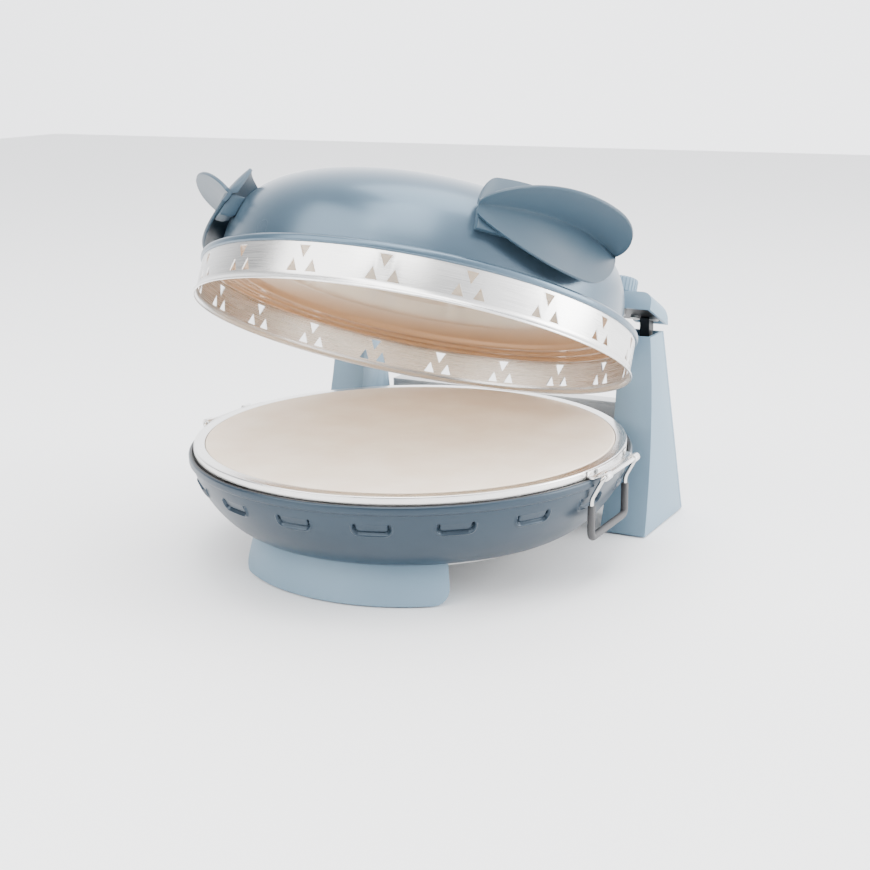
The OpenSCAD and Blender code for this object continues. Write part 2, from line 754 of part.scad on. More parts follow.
module terminal_block() {
  color(ceramic) translate([-inlet_x - 16, house_y + house_d - house_wall - 9, inlet_z - 8]) difference() {
    cube([32, 9, 16]);
    for (i = [0 : 2]) translate([6 + i * 10, -e, 8]) rotate([-90, 0, 0]) cylinder(r = 2.2, h = 5);
  }
}

/* ---- Tray ---- */

module tray_ring() {
  in_r = stone_r + stone_gap;
  color(steel) difference() {
    rotate_extrude() polygon([[ledge_in, tray_z], [tray_r, tray_z], [tray_r, tray_top - 0.8],
      [tray_r - 0.8, tray_top], [in_r, tray_top], [in_r, tray_top - tray_wall],
      [tray_r - tray_wall, tray_top - tray_wall], [tray_r - tray_wall, tray_z + tray_wall],
      [ledge_in, tray_z + tray_wall]]);
    for (s = [-1, 1]) for (a = rivet_a) rotate([0, 0, (s < 0 ? 180 : 0) + a])
      translate([tray_r - 3, 0, rivet_z]) rotate([0, 90, 0]) cylinder(r = rivet_r + running, h = 6);
  }
}

module pizza_stone() {
  c = stone_chamfer;
  z = tray_z + tray_wall;
  color(ceramic) rotate_extrude() polygon([[0, z], [stone_r - c, z], [stone_r, z + c],
    [stone_r, z + stone_t - c], [stone_r - c, z + stone_t], [0, z + stone_t]]);
}

module bracket() {
  r = tray_r + seat;
  plate_end = bail_end + barrel_l;
  difference() {
    union() {
      // plate from the upstand to the rolled outer edge
      difference() {
        translate([0, 0, bracket_z]) linear_extrude(bracket_t) polygon([[r - 12, -bracket_half],
          [bail_x - 6, -bracket_half + 2], [bail_x - 5, -plate_end + 0.5], [bail_x + 1, -plate_end + 0.5],
          [bail_x + 1, plate_end - 0.5], [bail_x - 5, plate_end - 0.5], [bail_x - 6, bracket_half - 2],
          [r - 12, bracket_half]]);
        translate([0, 0, bracket_z - 1]) cylinder(r = r + upstand_t / 2, h = tray_h + 2);
      }
      // upstand against the ring
      rotate([0, 0, -upstand_a]) rotate_extrude(angle = 2 * upstand_a)
        translate([r, bracket_z]) square([upstand_t, tray_top - bracket_z - seat]);
      // barrels that carry the bail's ends
      for (s = [-1, 1]) translate([bail_x, s * (bail_end + barrel_l / 2), bail_z]) rotate([90, 0, 0])
        translate([0, 0, -barrel_l / 2]) cylinder(r = barrel_r, h = barrel_l);
      // rolled edge between the barrels
      translate([bail_x + 0.6, 0, bail_z]) rotate([90, 0, 0])
        translate([0, 0, -bail_end - 1]) cylinder(r = bracket_t * 0.8, h = 2 * bail_end + 2);
    }
    for (s = [-1, 1]) translate([bail_x, s * (bail_end + barrel_l / 2), bail_z]) rotate([90, 0, 0])
      translate([0, 0, -barrel_l / 2 - 1]) cylinder(r = wire_d / 2 + running, h = barrel_l + 2);
    for (a = rivet_a) rotate([0, 0, a]) translate([r - 1, 0, rivet_z]) rotate([0, 90, 0])
      cylinder(r = rivet_r + running, h = 4);
  }
}

module right_bracket() { color(steel) bracket(); }
module left_bracket() { color(steel) mirror([1, 0, 0]) bracket(); }

module tray_rivets() {
  color(zinc) right_left() for (a = rivet_a) rotate([0, 0, a]) translate([tray_r, 0, rivet_z])
    rotate([0, 90, 0]) {
      translate([0, 0, -tray_wall - 0.2]) cylinder(r = rivet_r, h = tray_wall + seat + upstand_t + 0.5);
      translate([0, 0, upstand_t + seat + 0.1]) cylinder(r = rivet_r + 0.5, h = 0.9);
    }
}

// Wire of a right-hand bail, hanging down
module bail_wire() {
  r = wire_d / 2;
  translate([bail_x, 0, bail_z]) {
    for (s = [-1, 1]) {
      translate([0, s * bail_half, 0]) rotate([s * 90, 0, 0]) cylinder(r = r, h = bail_half - bail_end - 0.4);
      translate([0, s * bail_half, 0]) rotate([0, atan(bail_set / bail_step) - 180, 0]) {
        sphere(r = r);
        cylinder(r = r, h = norm([bail_set, bail_step]));
      }
      translate([-bail_set, s * bail_half, -bail_step]) sphere(r = r + wire_swell);
      translate([-bail_set, s * bail_half, -bail_drop]) cylinder(r = r, h = bail_drop - bail_step);
      translate([-bail_set, s * bail_half, -bail_drop]) sphere(r = r);
    }
    translate([-bail_set, bail_half, -bail_drop]) rotate([90, 0, 0]) cylinder(r = r, h = 2 * bail_half);
  }
}

// Sleeve on the bail's grip and on the lower part of its legs
module bail_sleeve() {
  r = sleeve_d / 2;
  difference() {
    translate([bail_x - bail_set, 0, bail_z - bail_drop]) {
      for (s = [-1, 1]) {
        translate([0, s * bail_half, 0]) cylinder(r = r, h = sleeve_leg);
        translate([0, s * bail_half, 0]) sphere(r = r);
      }
      translate([0, bail_half, 0]) rotate([90, 0, 0]) cylinder(r = r, h = 2 * bail_half);
    }
    translate([bail_x - bail_set, 0, bail_z - bail_drop]) {
      for (s = [-1, 1]) {
        translate([0, s * bail_half, 0]) cylinder(r = wire_d / 2 + running, h = sleeve_leg + 1);
        translate([0, s * bail_half, 0]) sphere(r = wire_d / 2 + running);
      }
      translate([0, bail_half, 0]) rotate([90, 0, 0])
        cylinder(r = wire_d / 2 + running, h = 2 * bail_half);
    }
  }
}

module right_bail() { color(steel) bail_wire(); }
module left_bail() { color(steel) mirror([1, 0, 0]) bail_wire(); }
module right_sleeve() { color(dark) bail_sleeve(); }
module left_sleeve() { color(dark) mirror([1, 0, 0]) bail_sleeve(); }

/* ---- Lid shell ---- */

module dome_solid(grow) {
  rotate_extrude() polygon(concat([[0, dome_z - 20], [dome_r + grow, dome_z - 20]],
    dome_curve(dome_r + grow, dome_z, dome_top + grow, dome_square, dome_steps)));
}

module lid_dome() {
  outer = dome_curve(dome_r, dome_z, dome_top, dome_square, dome_steps);
  inner = dome_curve(dome_r - dome_wall, dome_z + 1, dome_top - dome_wall, dome_square, dome_steps);
  color(paint) on_lid() difference() {
    rotate_extrude() polygon(concat([[dome_r - 6, dome_z], [dome_r, dome_z]],
      outer, reverse(inner), [[dome_r - 6, dome_z + 1]]));
    wing_bores(screw_r + seat, 6);
  }
}

module lid_flange() {
  color(paint) on_lid() rotate_extrude() polygon([[band_r - 5, flange_z], [band_r + 0.4, flange_z],
    [flange_r - 0.4, flange_z + 0.6], [flange_r, flange_z + 1.8], [flange_r, flange_z + 3.6],
    [flange_r - 1.2, flange_z + 5.2], [flange_r - 3.6, flange_z + flange_h - 0.9],
    [dome_r + 5, flange_z + flange_h - 0.6], [dome_r + 2, flange_z + flange_h],
    [dome_r - 6, flange_z + flange_h], [dome_r - 6, flange_z + flange_h - 1.2],
    [dome_r + 2, flange_z + flange_h - 1.2], [dome_r + 5, flange_z + flange_h - 2],
    [flange_r - 4.4, flange_z + flange_h - 2.6], [flange_r - 2, flange_z + 3],
    [flange_r - 2, flange_z + 1.4], [band_r - 5, flange_z + 1.4]]);
}

module vent(up) {
  rotate([90, 0, 90]) linear_extrude(10)
    polygon(up ? [[-vent_w / 2, 0], [vent_w / 2, 0], [0, vent_h]]
               : [[-vent_w / 2, vent_h], [0, 0], [vent_w / 2, vent_h]]);
}

module vent_band() {
  r = band_r;
  w = band_wall;
  color(steel) on_lid() difference() {
    rotate_extrude() polygon([[lip_r, 0], [lip_r, 1.2], [r + 0.5, 3], [r, 5], [r, band_h],
      [r - w, band_h], [r - w, 5], [r - w + 0.4, 2.6], [lip_r - 1.4, 1], [lip_r - 1.4, 0]]);
    for (i = [0 : vent_n - 1]) rotate([0, 0, -90 + 360 * i / vent_n]) {
      translate([r - 6, 0, vent_z + vent_h + 0.3]) vent(false);
      for (s = [-1, 1]) translate([r - 6, s * vent_w * 0.87, vent_z]) vent(true);
    }
  }
}

// Pressed steel roof of the baking space, with a stepped border
module lid_reflector() {
  color(ceramic) on_lid() rotate_extrude() polygon(concat([for (p = roof_line) [p[0], p[1]]],
    reverse([for (p = roof_line) [p[0] + p[2], p[1] + sheet]])));
}

// Height of the roof's upper side on its slope
function roof_at(r) = slope_z + sheet - (r - slope_r) * (slope_z - bend_z) / (bend_r - slope_r);

module upper_element() {
  color(zinc) on_lid() translate([0, 0, upper_ring_h]) ring_element(upper_ring_r, 24);
}

// Saddles that carry the upper ring on the roof
module upper_clips() {
  color(steel) on_lid() for (a = clip_a) rotate([0, 0, a])
    translate([upper_ring_r - saddle_w / 2, -saddle_l / 2, upper_foot_z]) difference() {
      cube([saddle_w, saddle_l, saddle_h]);
      translate([saddle_w / 2, -e, saddle_h]) rotate([-90, 0, 0])
        cylinder(r = leg_r + seat, h = saddle_l + 2 * e);
    }
}

// Ceramic beads on the upper ring's two legs
module upper_insulators() {
  color(ceramic) on_lid() for (s = [-1, 1]) rotate([0, 0, 90 + s * asin(element_gap / upper_ring_r)])
    translate([upper_ring_r, 0, upper_ring_h + 8]) difference() {
      cylinder(r = leg_r + 3.5, h = 12);
      translate([0, 0, -e]) cylinder(r = leg_r + running, h = 13);
    }
}

/* ---- Wing handles ---- */

// Spine point at s, from 0 at the front to 1 at the rear: direction, radius and height
function spine_a(s) = -wing_front + (wing_front - wing_rear) * s;
function spine_r(s) = wing_r - wing_close * s;
function spine_h(s) = wing_h + wing_rise * s + wing_bow * 4 * s * (1 - s);

// Blades in turn round the spine, each as its angle at the front and at the rear, its width,
// the shares of that width at both ends, the place of its crest, its curl, and the power that
// makes its rise and fall fuller the smaller it is
blades = [
  [44, 7, outer_w, 0.1, 0.1, 0.66, -1, 0.7],
  [-79.5, -68.5, lower_w, 0.19, 0.08, 0.6, 2, 0.85],
  [-246, -235, upright_w, 0.13, 0.6, 0.1, 3, 0.5]];

// Width of a blade along the spine: a sine's rise to its crest, then a cosine's fall
function blade_w(b, s) = s < b[5]
  ? b[2] * (b[3] + (1 - b[3]) * pow(sin(90 * s / b[5]), b[7]))
  : b[2] * (b[4] + (1 - b[4]) * pow(max(cos(90 * (s - b[5]) / (1 - b[5])), 0), b[7]));
function blade_angle(b, s) = b[0] + (b[1] - b[0]) * s;

// One side of a blade at s, from its root to its tip, on the side that side names, -1 or 1
function blade_side(b, s, side) = let (
    a = blade_angle(b, s), width = blade_w(b, s))
  [for (j = [1 : blade_steps]) let (t = j / blade_steps, d = root_d + (width - root_d) * t,
      c = b[6] * pow(d / width, 2) - side * blade_t / 2 * (1 - 0.35 * t * t))
    [d * cos(a) - c * sin(a), d * sin(a) + c * cos(a)]];

// Corner at the spine between two neighbouring blades
function blade_corner(b, next, s) = let (
    a = blade_angle(b, s), turn = a - blade_angle(next, s),
    half = (turn > 0 ? turn : turn + 360) / 2, d = blade_t / 2 / sin(half))
  [d * cos(a - half), d * sin(a - half)];

// Closed section of the wing at s, out and back along each blade in turn
function wing_loop(s) = [for (i = [0 : 2]) let (b = blades[i], next = blades[(i + 1) % 3])
  for (q = concat(blade_side(b, s, -1), reverse(blade_side(b, s, 1)), [blade_corner(b, next, s)]))
    let (r = spine_r(s) + q[0], a = spine_a(s)) [r * cos(a), r * sin(a), spine_h(s) + q[1]]];

module wing() {
  n = wing_steps;
  loops = [for (i = [0 : n]) wing_loop(i / n)];
  m = len(loops[0]);
  polyhedron(points = [for (l = loops) each l],
    faces = concat(
      [for (i = [0 : n - 1]) for (j = [0 : m - 1]) let (k = (j + 1) % m)
        [i * m + j, (i + 1) * m + k, i * m + k]],
      [for (i = [0 : n - 1]) for (j = [0 : m - 1]) let (k = (j + 1) % m)
        [i * m + j, (i + 1) * m + j, (i + 1) * m + k]],
      [[for (j = [0 : m - 1]) j]], [[for (j = [m - 1 : -1 : 0]) n * m + j]]), convexity = 8);
}

module right_wing() { color(plastic) on_lid() wing(); }
module left_wing() { color(plastic) on_lid() mirror([1, 0, 0]) wing(); }

// Radius at height z of the wing's inner side between s and s + step, less the seat's gap
function wing_in(s, step, z) = let (a = -blades[1][0], low = min(spine_h(s), spine_h(s + step)))
  spine_r(s + step) + (low - z) / tan(a) - blade_t / 2 / sin(a) - seat;

// Lugs between the dome's flank and the wing's inner side, one near each end
module wing_lugs() {
  step = lug_a / (wing_front - wing_rear);
  difference() {
    for (s = lug_s) {
      top = min(spine_h(s), spine_h(s + step)) - 1;
      rotate([0, 0, spine_a(s)]) rotate_extrude(angle = lug_a) polygon(concat([
        [dome_at(lug_low) + seat + 4, lug_low], [wing_in(s, step, lug_low + 5), lug_low + 5],
        [wing_in(s, step, top), top]], [for (k = [6 : -1 : 0]) let (h = lug_low + (top - lug_low) * k / 6)
          [dome_at(h) + seat, h]]));
    }
    wing_bores(screw_r + running, 5);
  }
}

// Bores from inside the dome outwards, reaching depth beyond its inner face, on the right side
module wing_bores(radius, depth) {
  right_left() for (s = lug_s) rotate([0, 0, spine_a(s) + lug_a / 2])
    translate([dome_at(wing_screw_h) - 4, 0, wing_screw_h]) rotate([0, 90, 0])
      cylinder(r = radius, h = depth + 2);
}

module right_wing_lugs() { color(plastic) on_lid() wing_lugs(); }
module left_wing_lugs() { color(plastic) on_lid() mirror([1, 0, 0]) wing_lugs(); }

module wing_screws() {
  color(zinc) on_lid() right_left() for (s = lug_s) rotate([0, 0, spine_a(s) + lug_a / 2])
    translate([dome_at(wing_screw_h) - dome_wall - 1.6, 0, wing_screw_h]) rotate([0, -90, 0]) screw(5.5);
}

/* ---- Hinge arms and covers ---- */

module arm() {
  tab_out = dome_at(tab_low) + seat + arm_tab_t;
  tab_top = plate_h + plate_t - 1;
  difference() {
    union() {
      translate([arm_x - arm_t / 2, hinge_y, eye_h]) rotate([0, 90, 0]) cylinder(r = eye_r, h = arm_t);
      translate([arm_x - arm_t / 2, hinge_y, eye_h]) rotate([arm_lean, 0, 0])
        translate([0, -arm_w / 2, 0]) cube([arm_t, arm_w, arm_len + plate_t / 2]);
      difference() {
        translate([deck_in_x, plate_y, plate_h])
          cube([col_out - cap_wall - seat - deck_in_x, plate_d, plate_t]);
        translate([0, 0, plate_h - 1]) cylinder(r = tab_out - arm_tab_t / 2, h = plate_t + 2);
      }
      // tab that lies along the dome's flank
      rotate([0, 0, tab_from]) rotate_extrude(angle = tab_to - tab_from) polygon(concat(
        [[tab_out, tab_low], [tab_out, tab_top]],
        [for (k = [4 : -1 : 0]) let (h = tab_low + (tab_top - tab_low) * k / 4) [dome_at(h) + seat, h]]));
    }
    translate([arm_x - arm_t / 2 - 1, hinge_y, eye_h]) rotate([0, 90, 0])
      cylinder(r = eye_bush_r + running, h = arm_t + 2);
    translate([knob_x, knob_y, tab_low - 1]) cylinder(r = thermostat_r + seat, h = plate_h);
    for (p = arm_screw_xy) translate([p[0], p[1], plate_h - 1]) cylinder(r = screw_r + seat, h = plate_t + 2);
  }
}

module right_arm() { color(zinc) on_lid() arm(); }
module left_arm() { color(zinc) on_lid() mirror([1, 0, 0]) arm(); }

module hinge_bushes() {
  color([0.75, 0.6, 0.32]) on_lid() right_left() translate([arm_x - arm_t / 2, hinge_y, eye_h])
    rotate([0, 90, 0]) difference() {
      cylinder(r = eye_bush_r, h = arm_t);
      translate([0, 0, -e]) cylinder(r = pin_d / 2 + running, h = arm_t + 2 * e);
    }
}

// Side outline of the hinge cover, lowered by drop
function cap_side(drop) = [[cap_front_y, cap_top - drop], [cap_slope_y, cap_top - drop],
  [cap_slope_y + 14, cap_top - 3 - drop], [cap_rear_y - 3, cap_top - cap_rear_drop - drop]];

module cap_block(inset) {
  r = cap_round;
  low = inset > 0 ? cap_bottom - 1 : cap_bottom;
  in_x = col_in + inset;
  out_x = col_out + 1 - inset;
  intersection() {
    translate([in_x, 0, 0]) rotate([90, 0, 90]) linear_extrude(out_x - in_x)
      polygon(concat([[cap_front_y + inset, low]], [for (q = cap_side(inset))
        [q[0] == cap_front_y ? q[0] + inset : q[0] == cap_rear_y - 3 ? q[0] - inset : q[0], q[1]]],
        [[cap_rear_y - inset, cap_bottom], [cap_rear_y - inset, low]]));
    translate([0, cap_rear_y + 10, 0]) rotate([90, 0, 0]) linear_extrude(cap_rear_y - cap_front_y + 20)
      polygon(concat([[in_x, low], [out_x, low]],
        [for (a = [0 : 15 : 90]) [out_x - r + r * cos(a), cap_top - inset - r + r * sin(a)]],
        [[in_x, cap_top - inset]]));
  }
}

module hinge_cover() {
  difference() {
    union() {
      difference() {
        cap_block(0);
        cap_block(cap_wall);
      }
      // deck between the cap and the dome
      translate([deck_in_x, 0, 0]) rotate([90, 0, 90]) linear_extrude(col_in - deck_in_x + 1)
        polygon(concat(cap_side(0), reverse(cap_side(deck_t))));
      // posts for the arm's screws
      for (p = arm_screw_xy) translate([p[0], p[1], plate_h + plate_t])
        cylinder(r = screw_r + 2, h = cap_top - deck_t - plate_h - plate_t);
    }
    dome_solid(seat + 0.2);
    // way for the arm's plate through the inner wall
    translate([col_in - 1, plate_y - seat, cap_bottom - 1])
      cube([cap_wall + 2, plate_d + 2 * seat, plate_h + plate_t + seat - cap_bottom + 1]);
    for (p = arm_screw_xy) translate([p[0], p[1], plate_h]) cylinder(r = screw_r + running, h = plate_t + 4);
  }
}

module right_hinge_cover() {
  color(plastic) on_lid() difference() {
    hinge_cover();
    translate([knob_x, knob_y, cap_bottom]) cylinder(d = spindle_d + 0.8, h = cap_top);
    translate([knob_x, knob_y, cap_bottom - 1]) cylinder(r = thermostat_r + seat, h = cap_top - deck_t - cap_bottom + 1);
  }
}

module left_hinge_cover() { color(plastic) on_lid() mirror([1, 0, 0]) hinge_cover(); }

module arm_screws() {
  color(zinc) on_lid() right_left() for (p = arm_screw_xy) translate([p[0], p[1], plate_h])
    mirror([0, 0, 1]) screw(plate_t + 3);
}

/* ---- Thermostat and knob ---- */

module thermostat() {
  top = cap_top - deck_t - seat;
  color(zinc) on_lid() translate([knob_x, knob_y, top - 14]) cylinder(r = thermostat_r, h = 14);
}

module knob_spindle() {
  color(steel) on_lid() translate([knob_x, knob_y, cap_top - deck_t])
    cylinder(d = spindle_d, h = deck_t + seat + knob_h - 3);
}

module control_knob() {
  base = cap_top + seat;
  color(plastic) on_lid() translate([knob_x, knob_y, base]) difference() {
    rotate_extrude() polygon([[0, 0], [knob_r, 0], [knob_r, knob_h - 3], [knob_r - 1, knob_h - 1],
      [knob_r - 3.2, knob_h], [0, knob_h]]);
    for (i = [0 : flute_n - 1]) rotate([0, 0, 360 * i / flute_n]) translate([knob_r + 0.5, 0, 1])
      cylinder(r = 1, h = knob_h, $fn = 24);
    translate([0, 0, -e]) cylinder(d = spindle_d + 2 * running, h = knob_h - 2.7);
  }
}

base_bowl();
lower_pan();
lower_element();
element_clips();
element_insulators();
thermal_cutout();
bowl_screws();
chassis_plate();
front_foot();
foot_pads();
left_column();
right_column();
left_rear_cover();
right_rear_cover();
hinge_pins();
rear_housing();
housing_front();
power_inlet();
inlet_pins();
terminal_block();
column_screws();
foot_screws();
cover_screws();
tray_ring();
pizza_stone();
left_bracket();
right_bracket();
tray_rivets();
left_bail();
left_sleeve();
right_bail();
right_sleeve();
lid_dome();
lid_flange();
vent_band();
lid_reflector();
upper_element();
upper_clips();
upper_insulators();
left_wing();
right_wing();
left_wing_lugs();
right_wing_lugs();
wing_screws();
left_arm();
right_arm();
hinge_bushes();
left_hinge_cover();
right_hinge_cover();
arm_screws();
thermostat();
control_knob();
knob_spindle();
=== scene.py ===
# %% [markdown]
# # A countertop pizza maker
#
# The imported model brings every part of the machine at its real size. This script gives those
# parts their looks. Turned sheet metal is lathed again from smooth formulas, mouldings get
# rounded edges, and each finish is a small node tree. Lengths are in millimetres, because that
# is how the machine is drawn, and become metres where a mesh is made.

# %% Load the frame
import json
import math

import bmesh
import bpy
import numpy as np
from mathutils import Matrix, Vector


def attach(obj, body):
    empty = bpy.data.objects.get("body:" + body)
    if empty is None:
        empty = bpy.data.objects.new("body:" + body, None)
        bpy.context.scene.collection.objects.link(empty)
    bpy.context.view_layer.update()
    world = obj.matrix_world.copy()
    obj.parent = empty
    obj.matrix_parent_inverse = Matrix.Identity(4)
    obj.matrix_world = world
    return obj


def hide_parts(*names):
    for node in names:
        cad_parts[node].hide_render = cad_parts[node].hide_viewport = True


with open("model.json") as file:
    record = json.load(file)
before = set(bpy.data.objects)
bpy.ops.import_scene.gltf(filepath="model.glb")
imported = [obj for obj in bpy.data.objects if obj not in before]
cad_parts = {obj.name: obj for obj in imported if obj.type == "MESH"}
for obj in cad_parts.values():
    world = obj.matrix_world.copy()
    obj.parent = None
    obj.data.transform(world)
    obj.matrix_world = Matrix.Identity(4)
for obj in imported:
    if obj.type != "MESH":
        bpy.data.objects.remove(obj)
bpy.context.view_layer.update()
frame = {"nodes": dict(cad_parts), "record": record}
MM_IN_M = 1000

# %% Sizes that several pieces share, in millimetres
BOWL_R, RIM_Z = 170, 86  # the bowl's rim: its outer radius and the height of its top
BAND_R, BAND_H = 166.8, 27  # the lid's steel band
FLANGE_H = 7  # the rolled ring between the band and the dome
DOME_R, DOME_TOP, DOME_SQUARE = 155, 110, 3  # the last is the power of its superellipse
DOME_Z = BAND_H + FLANGE_H
HINGE_Y, HINGE_Z = 158, 120  # the lid's hinge axis
LID_SEAT, LID_OPEN = 95, 24.6  # height of the shut lid's rim; degrees that the lid stands open

# The lid's own frame has its rim plane at height 0. This matrix tips it up round the hinge.
TIP = (Matrix.Translation((0, HINGE_Y, HINGE_Z))
       @ Matrix.Rotation(math.radians(-LID_OPEN), 4, "X")
       @ Matrix.Translation((0, -HINGE_Y, LID_SEAT - HINGE_Z)))
FLAT = Matrix.Identity(4)
print("lid rim centre:", [round(v, 1) for v in TIP @ Vector((0, 0, 0))])

# %% [markdown]
# ## Surfaces from arrays
#
# A grid of points is the simplest way to write down a smooth surface: one function of two
# parameters, worked out as whole arrays. The helpers below turn such grids into closed meshes.
# A UV map in metres can follow the surface, so that brushed metal can follow it too.

# %% From points to a mesh
MERGE = 1e-6  # metres: points closer together than this are one


def set_uv(mesh, uv):
    """A UV map named surface, from one pair of metres for each point of the mesh."""
    corners = np.empty(len(mesh.loops), dtype=np.int32)
    mesh.loops.foreach_get("vertex_index", corners)
    layer = mesh.uv_layers.new(name="surface")
    layer.data.foreach_set("uv", uv[corners].ravel())


def close_up(piece):
    """Merges doubled points and turns every face outwards."""
    work = bmesh.new()
    work.from_mesh(piece.data)
    bmesh.ops.remove_doubles(work, verts=work.verts, dist=MERGE)
    bmesh.ops.dissolve_degenerate(work, edges=work.edges, dist=MERGE)
    bmesh.ops.recalc_face_normals(work, faces=work.faces)
    work.to_mesh(piece.data)
    work.free()


def add_mesh(name, points, faces, place=FLAT, uv=None):
    """A new closed object from points in millimetres, moved by place and scaled to metres."""
    turn = np.array(place)
    moved = (points.reshape(-1, 3) @ turn[:3, :3].T + turn[:3, 3]) / MM_IN_M
    mesh = bpy.data.meshes.new(name)
    mesh.from_pydata(moved.tolist(), [], faces)
    if uv is not None:
        set_uv(mesh, uv.reshape(-1, 2) / MM_IN_M)
    piece = bpy.data.objects.new(name, mesh)
    bpy.context.scene.collection.objects.link(piece)
    close_up(piece)
    return piece


def shade(piece, angle=35):
    """Smooth shading with sharp edges where faces meet at more than angle degrees."""
    mesh = piece.data
    mesh.polygons.foreach_set("use_smooth", np.ones(len(mesh.polygons), dtype=bool))
    mesh.set_sharp_from_angle(angle=math.radians(angle))


# %% Faces of a grid
def grid_faces(rows, columns, wrap_rows, wrap_columns):
    """Quads of a rows x columns grid, joined round where it wraps."""
    i = np.arange(rows if wrap_rows else rows - 1)
    j = np.arange(columns if wrap_columns else columns - 1)
    i, j = np.meshgrid(i, j, indexing="ij")
    down, right = (i + 1) % rows, (j + 1) % columns
    quads = np.stack([i * columns + j, i * columns + right, down * columns + right,
                      down * columns + j], axis=-1)
    return quads.reshape(-1, 4).tolist()


def capped_faces(rows, columns):
    """Quads of a grid whose rows are closed rings, and one face over each end."""
    last = (rows - 1) * columns
    ends = [list(range(columns)), list(range(last, last + columns))[::-1]]
    return grid_faces(rows, columns, False, True) + ends


# %% Rounded outlines and turned pieces
SIDE_SHARE = 0.45  # the most of a side that the rounding of one corner takes
SHARP = 0.01  # a rounding too small to see


def round_corners(corner, before, after, reach, steps):
    """Each corner becomes a quadratic curve, (1-t)^2 start + 2t(1-t) corner + t^2 end. It
    starts reach away on the side before the corner and ends as far away on the side after."""
    start = corner + before / np.linalg.norm(before, axis=1, keepdims=True) * reach
    end = corner + after / np.linalg.norm(after, axis=1, keepdims=True) * reach
    t = np.linspace(0, 1, steps)[None, :, None]
    curve = ((1 - t) ** 2 * start[:, None] + 2 * t * (1 - t) * corner[:, None]
             + t ** 2 * end[:, None])
    return curve.reshape(-1, corner.shape[1])


def fillet(points, radius, steps=5):
    """A closed outline with each corner rounded over radius, or over as much as the shorter of
    its two sides has room for."""
    p = np.asarray(points, dtype=float)
    before, after = np.roll(p, 1, axis=0) - p, np.roll(p, -1, axis=0) - p
    shorter = np.minimum(np.linalg.norm(before, axis=1), np.linalg.norm(after, axis=1))
    reach = np.minimum(np.broadcast_to(radius, len(p)), shorter * SIDE_SHARE)[:, None]
    return round_corners(p, before, after, reach, steps)


def lathe(name, profile, place=FLAT, turns=192):
    """Turns a closed outline of (radius, height) points once round the Z axis: each goes to
    (r sin a, r cos a, z). The UV map is the way round at the outline's largest radius, and the
    way along the outline."""
    profile = np.asarray(profile, dtype=float)
    angle = np.linspace(0, 2 * math.pi, turns + 1)
    r, z = profile[:, 0, None], profile[:, 1, None]
    points = np.stack([r * np.sin(angle), r * np.cos(angle), z + 0 * angle], axis=-1)
    along = np.concatenate([[0], np.cumsum(np.linalg.norm(np.diff(profile, axis=0), axis=1))])
    uv = np.stack(np.broadcast_arrays(angle * profile[:, 0].max(), along[:, None]), axis=-1)
    piece = add_mesh(name, points, grid_faces(len(profile), turns + 1, True, False), place, uv)
    shade(piece)
    return piece


# %% [markdown]
# ## Finishes
#
# The sheet metal has a satin metallic paint, the mouldings a matt plastic of nearly the same
# blue-grey, and the band and tray are bare steel. The bowl and the wings get looks of their own,
# darker copies of that paint and that plastic: painted shade, which stands in for the shade that
# falls on them. Real finishes are never one flat value: paint has fine flakes, plastic has a
# moulded grain, and every surface drifts a little in tone. One node group, mottle, makes both
# the drift and the grain, and each finish uses it at its own scale.


# %% The mottle group
def make_mottle():
    """Cloud drifts slowly over the surface and Grain is fine; both run from 0 to 1."""
    tree = bpy.data.node_groups.new("mottle", "ShaderNodeTree")
    sockets = tree.interface
    sockets.new_socket("Vector", in_out="INPUT", socket_type="NodeSocketVector")
    for name, value in (("Cloud Scale", 14.0), ("Grain Scale", 1500.0)):
        scale = sockets.new_socket(name, in_out="INPUT", socket_type="NodeSocketFloat")
        scale.default_value = value
    for name in ("Cloud", "Grain"):
        sockets.new_socket(name, in_out="OUTPUT", socket_type="NodeSocketFloat")
    nodes, links = tree.nodes, tree.links
    source, sink = nodes.new("NodeGroupInput"), nodes.new("NodeGroupOutput")
    for scale, name, detail in (("Cloud Scale", "Cloud", 3.0), ("Grain Scale", "Grain", 1.0)):
        noise = nodes.new("ShaderNodeTexNoise")
        noise.inputs["Detail"].default_value = detail
        links.new(source.outputs["Vector"], noise.inputs["Vector"])
        links.new(source.outputs[scale], noise.inputs["Scale"])
        links.new(noise.outputs["Fac"], sink.inputs[name])
    return tree


MOTTLE = make_mottle()

# %% Shader, colours and relief of a finish
FINISHES = {}
NOISE_LOW, NOISE_HIGH = 0.3, 0.7  # nearly all values of a noise lie between these


def start_finish(slot, metallic=0.0, coat=0.0, coat_roughness=0.1, specular=0.5):
    """An empty material with its Principled shader; constants go straight on its sockets."""
    material = bpy.data.materials.new(slot)
    material.use_nodes = True
    shader = material.node_tree.nodes["Principled BSDF"]
    shader.inputs["Metallic"].default_value = metallic
    shader.inputs["Coat Weight"].default_value = coat
    shader.inputs["Coat Roughness"].default_value = coat_roughness
    shader.inputs["Specular IOR Level"].default_value = specular
    FINISHES[slot] = material
    return material, shader


def linear(red, green, blue):
    """A colour given as 0 to 255 screen values, in the linear light that shaders use: the
    sRGB curve, which is straight at its foot and a power above it."""
    value = np.array([red, green, blue]) / 255
    light = np.where(value <= 0.04045, value / 12.92, ((value + 0.055) / 1.055) ** 2.4)
    return (*light.tolist(), 1.0)


def spread(material, factor, low, high):
    """Maps a noise to the range from low to high."""
    node = material.node_tree.nodes.new("ShaderNodeMapRange")
    node.inputs["From Min"].default_value = NOISE_LOW
    node.inputs["From Max"].default_value = NOISE_HIGH
    node.inputs["To Min"].default_value = low
    node.inputs["To Max"].default_value = high
    material.node_tree.links.new(factor, node.inputs["Value"])
    return node.outputs["Result"]


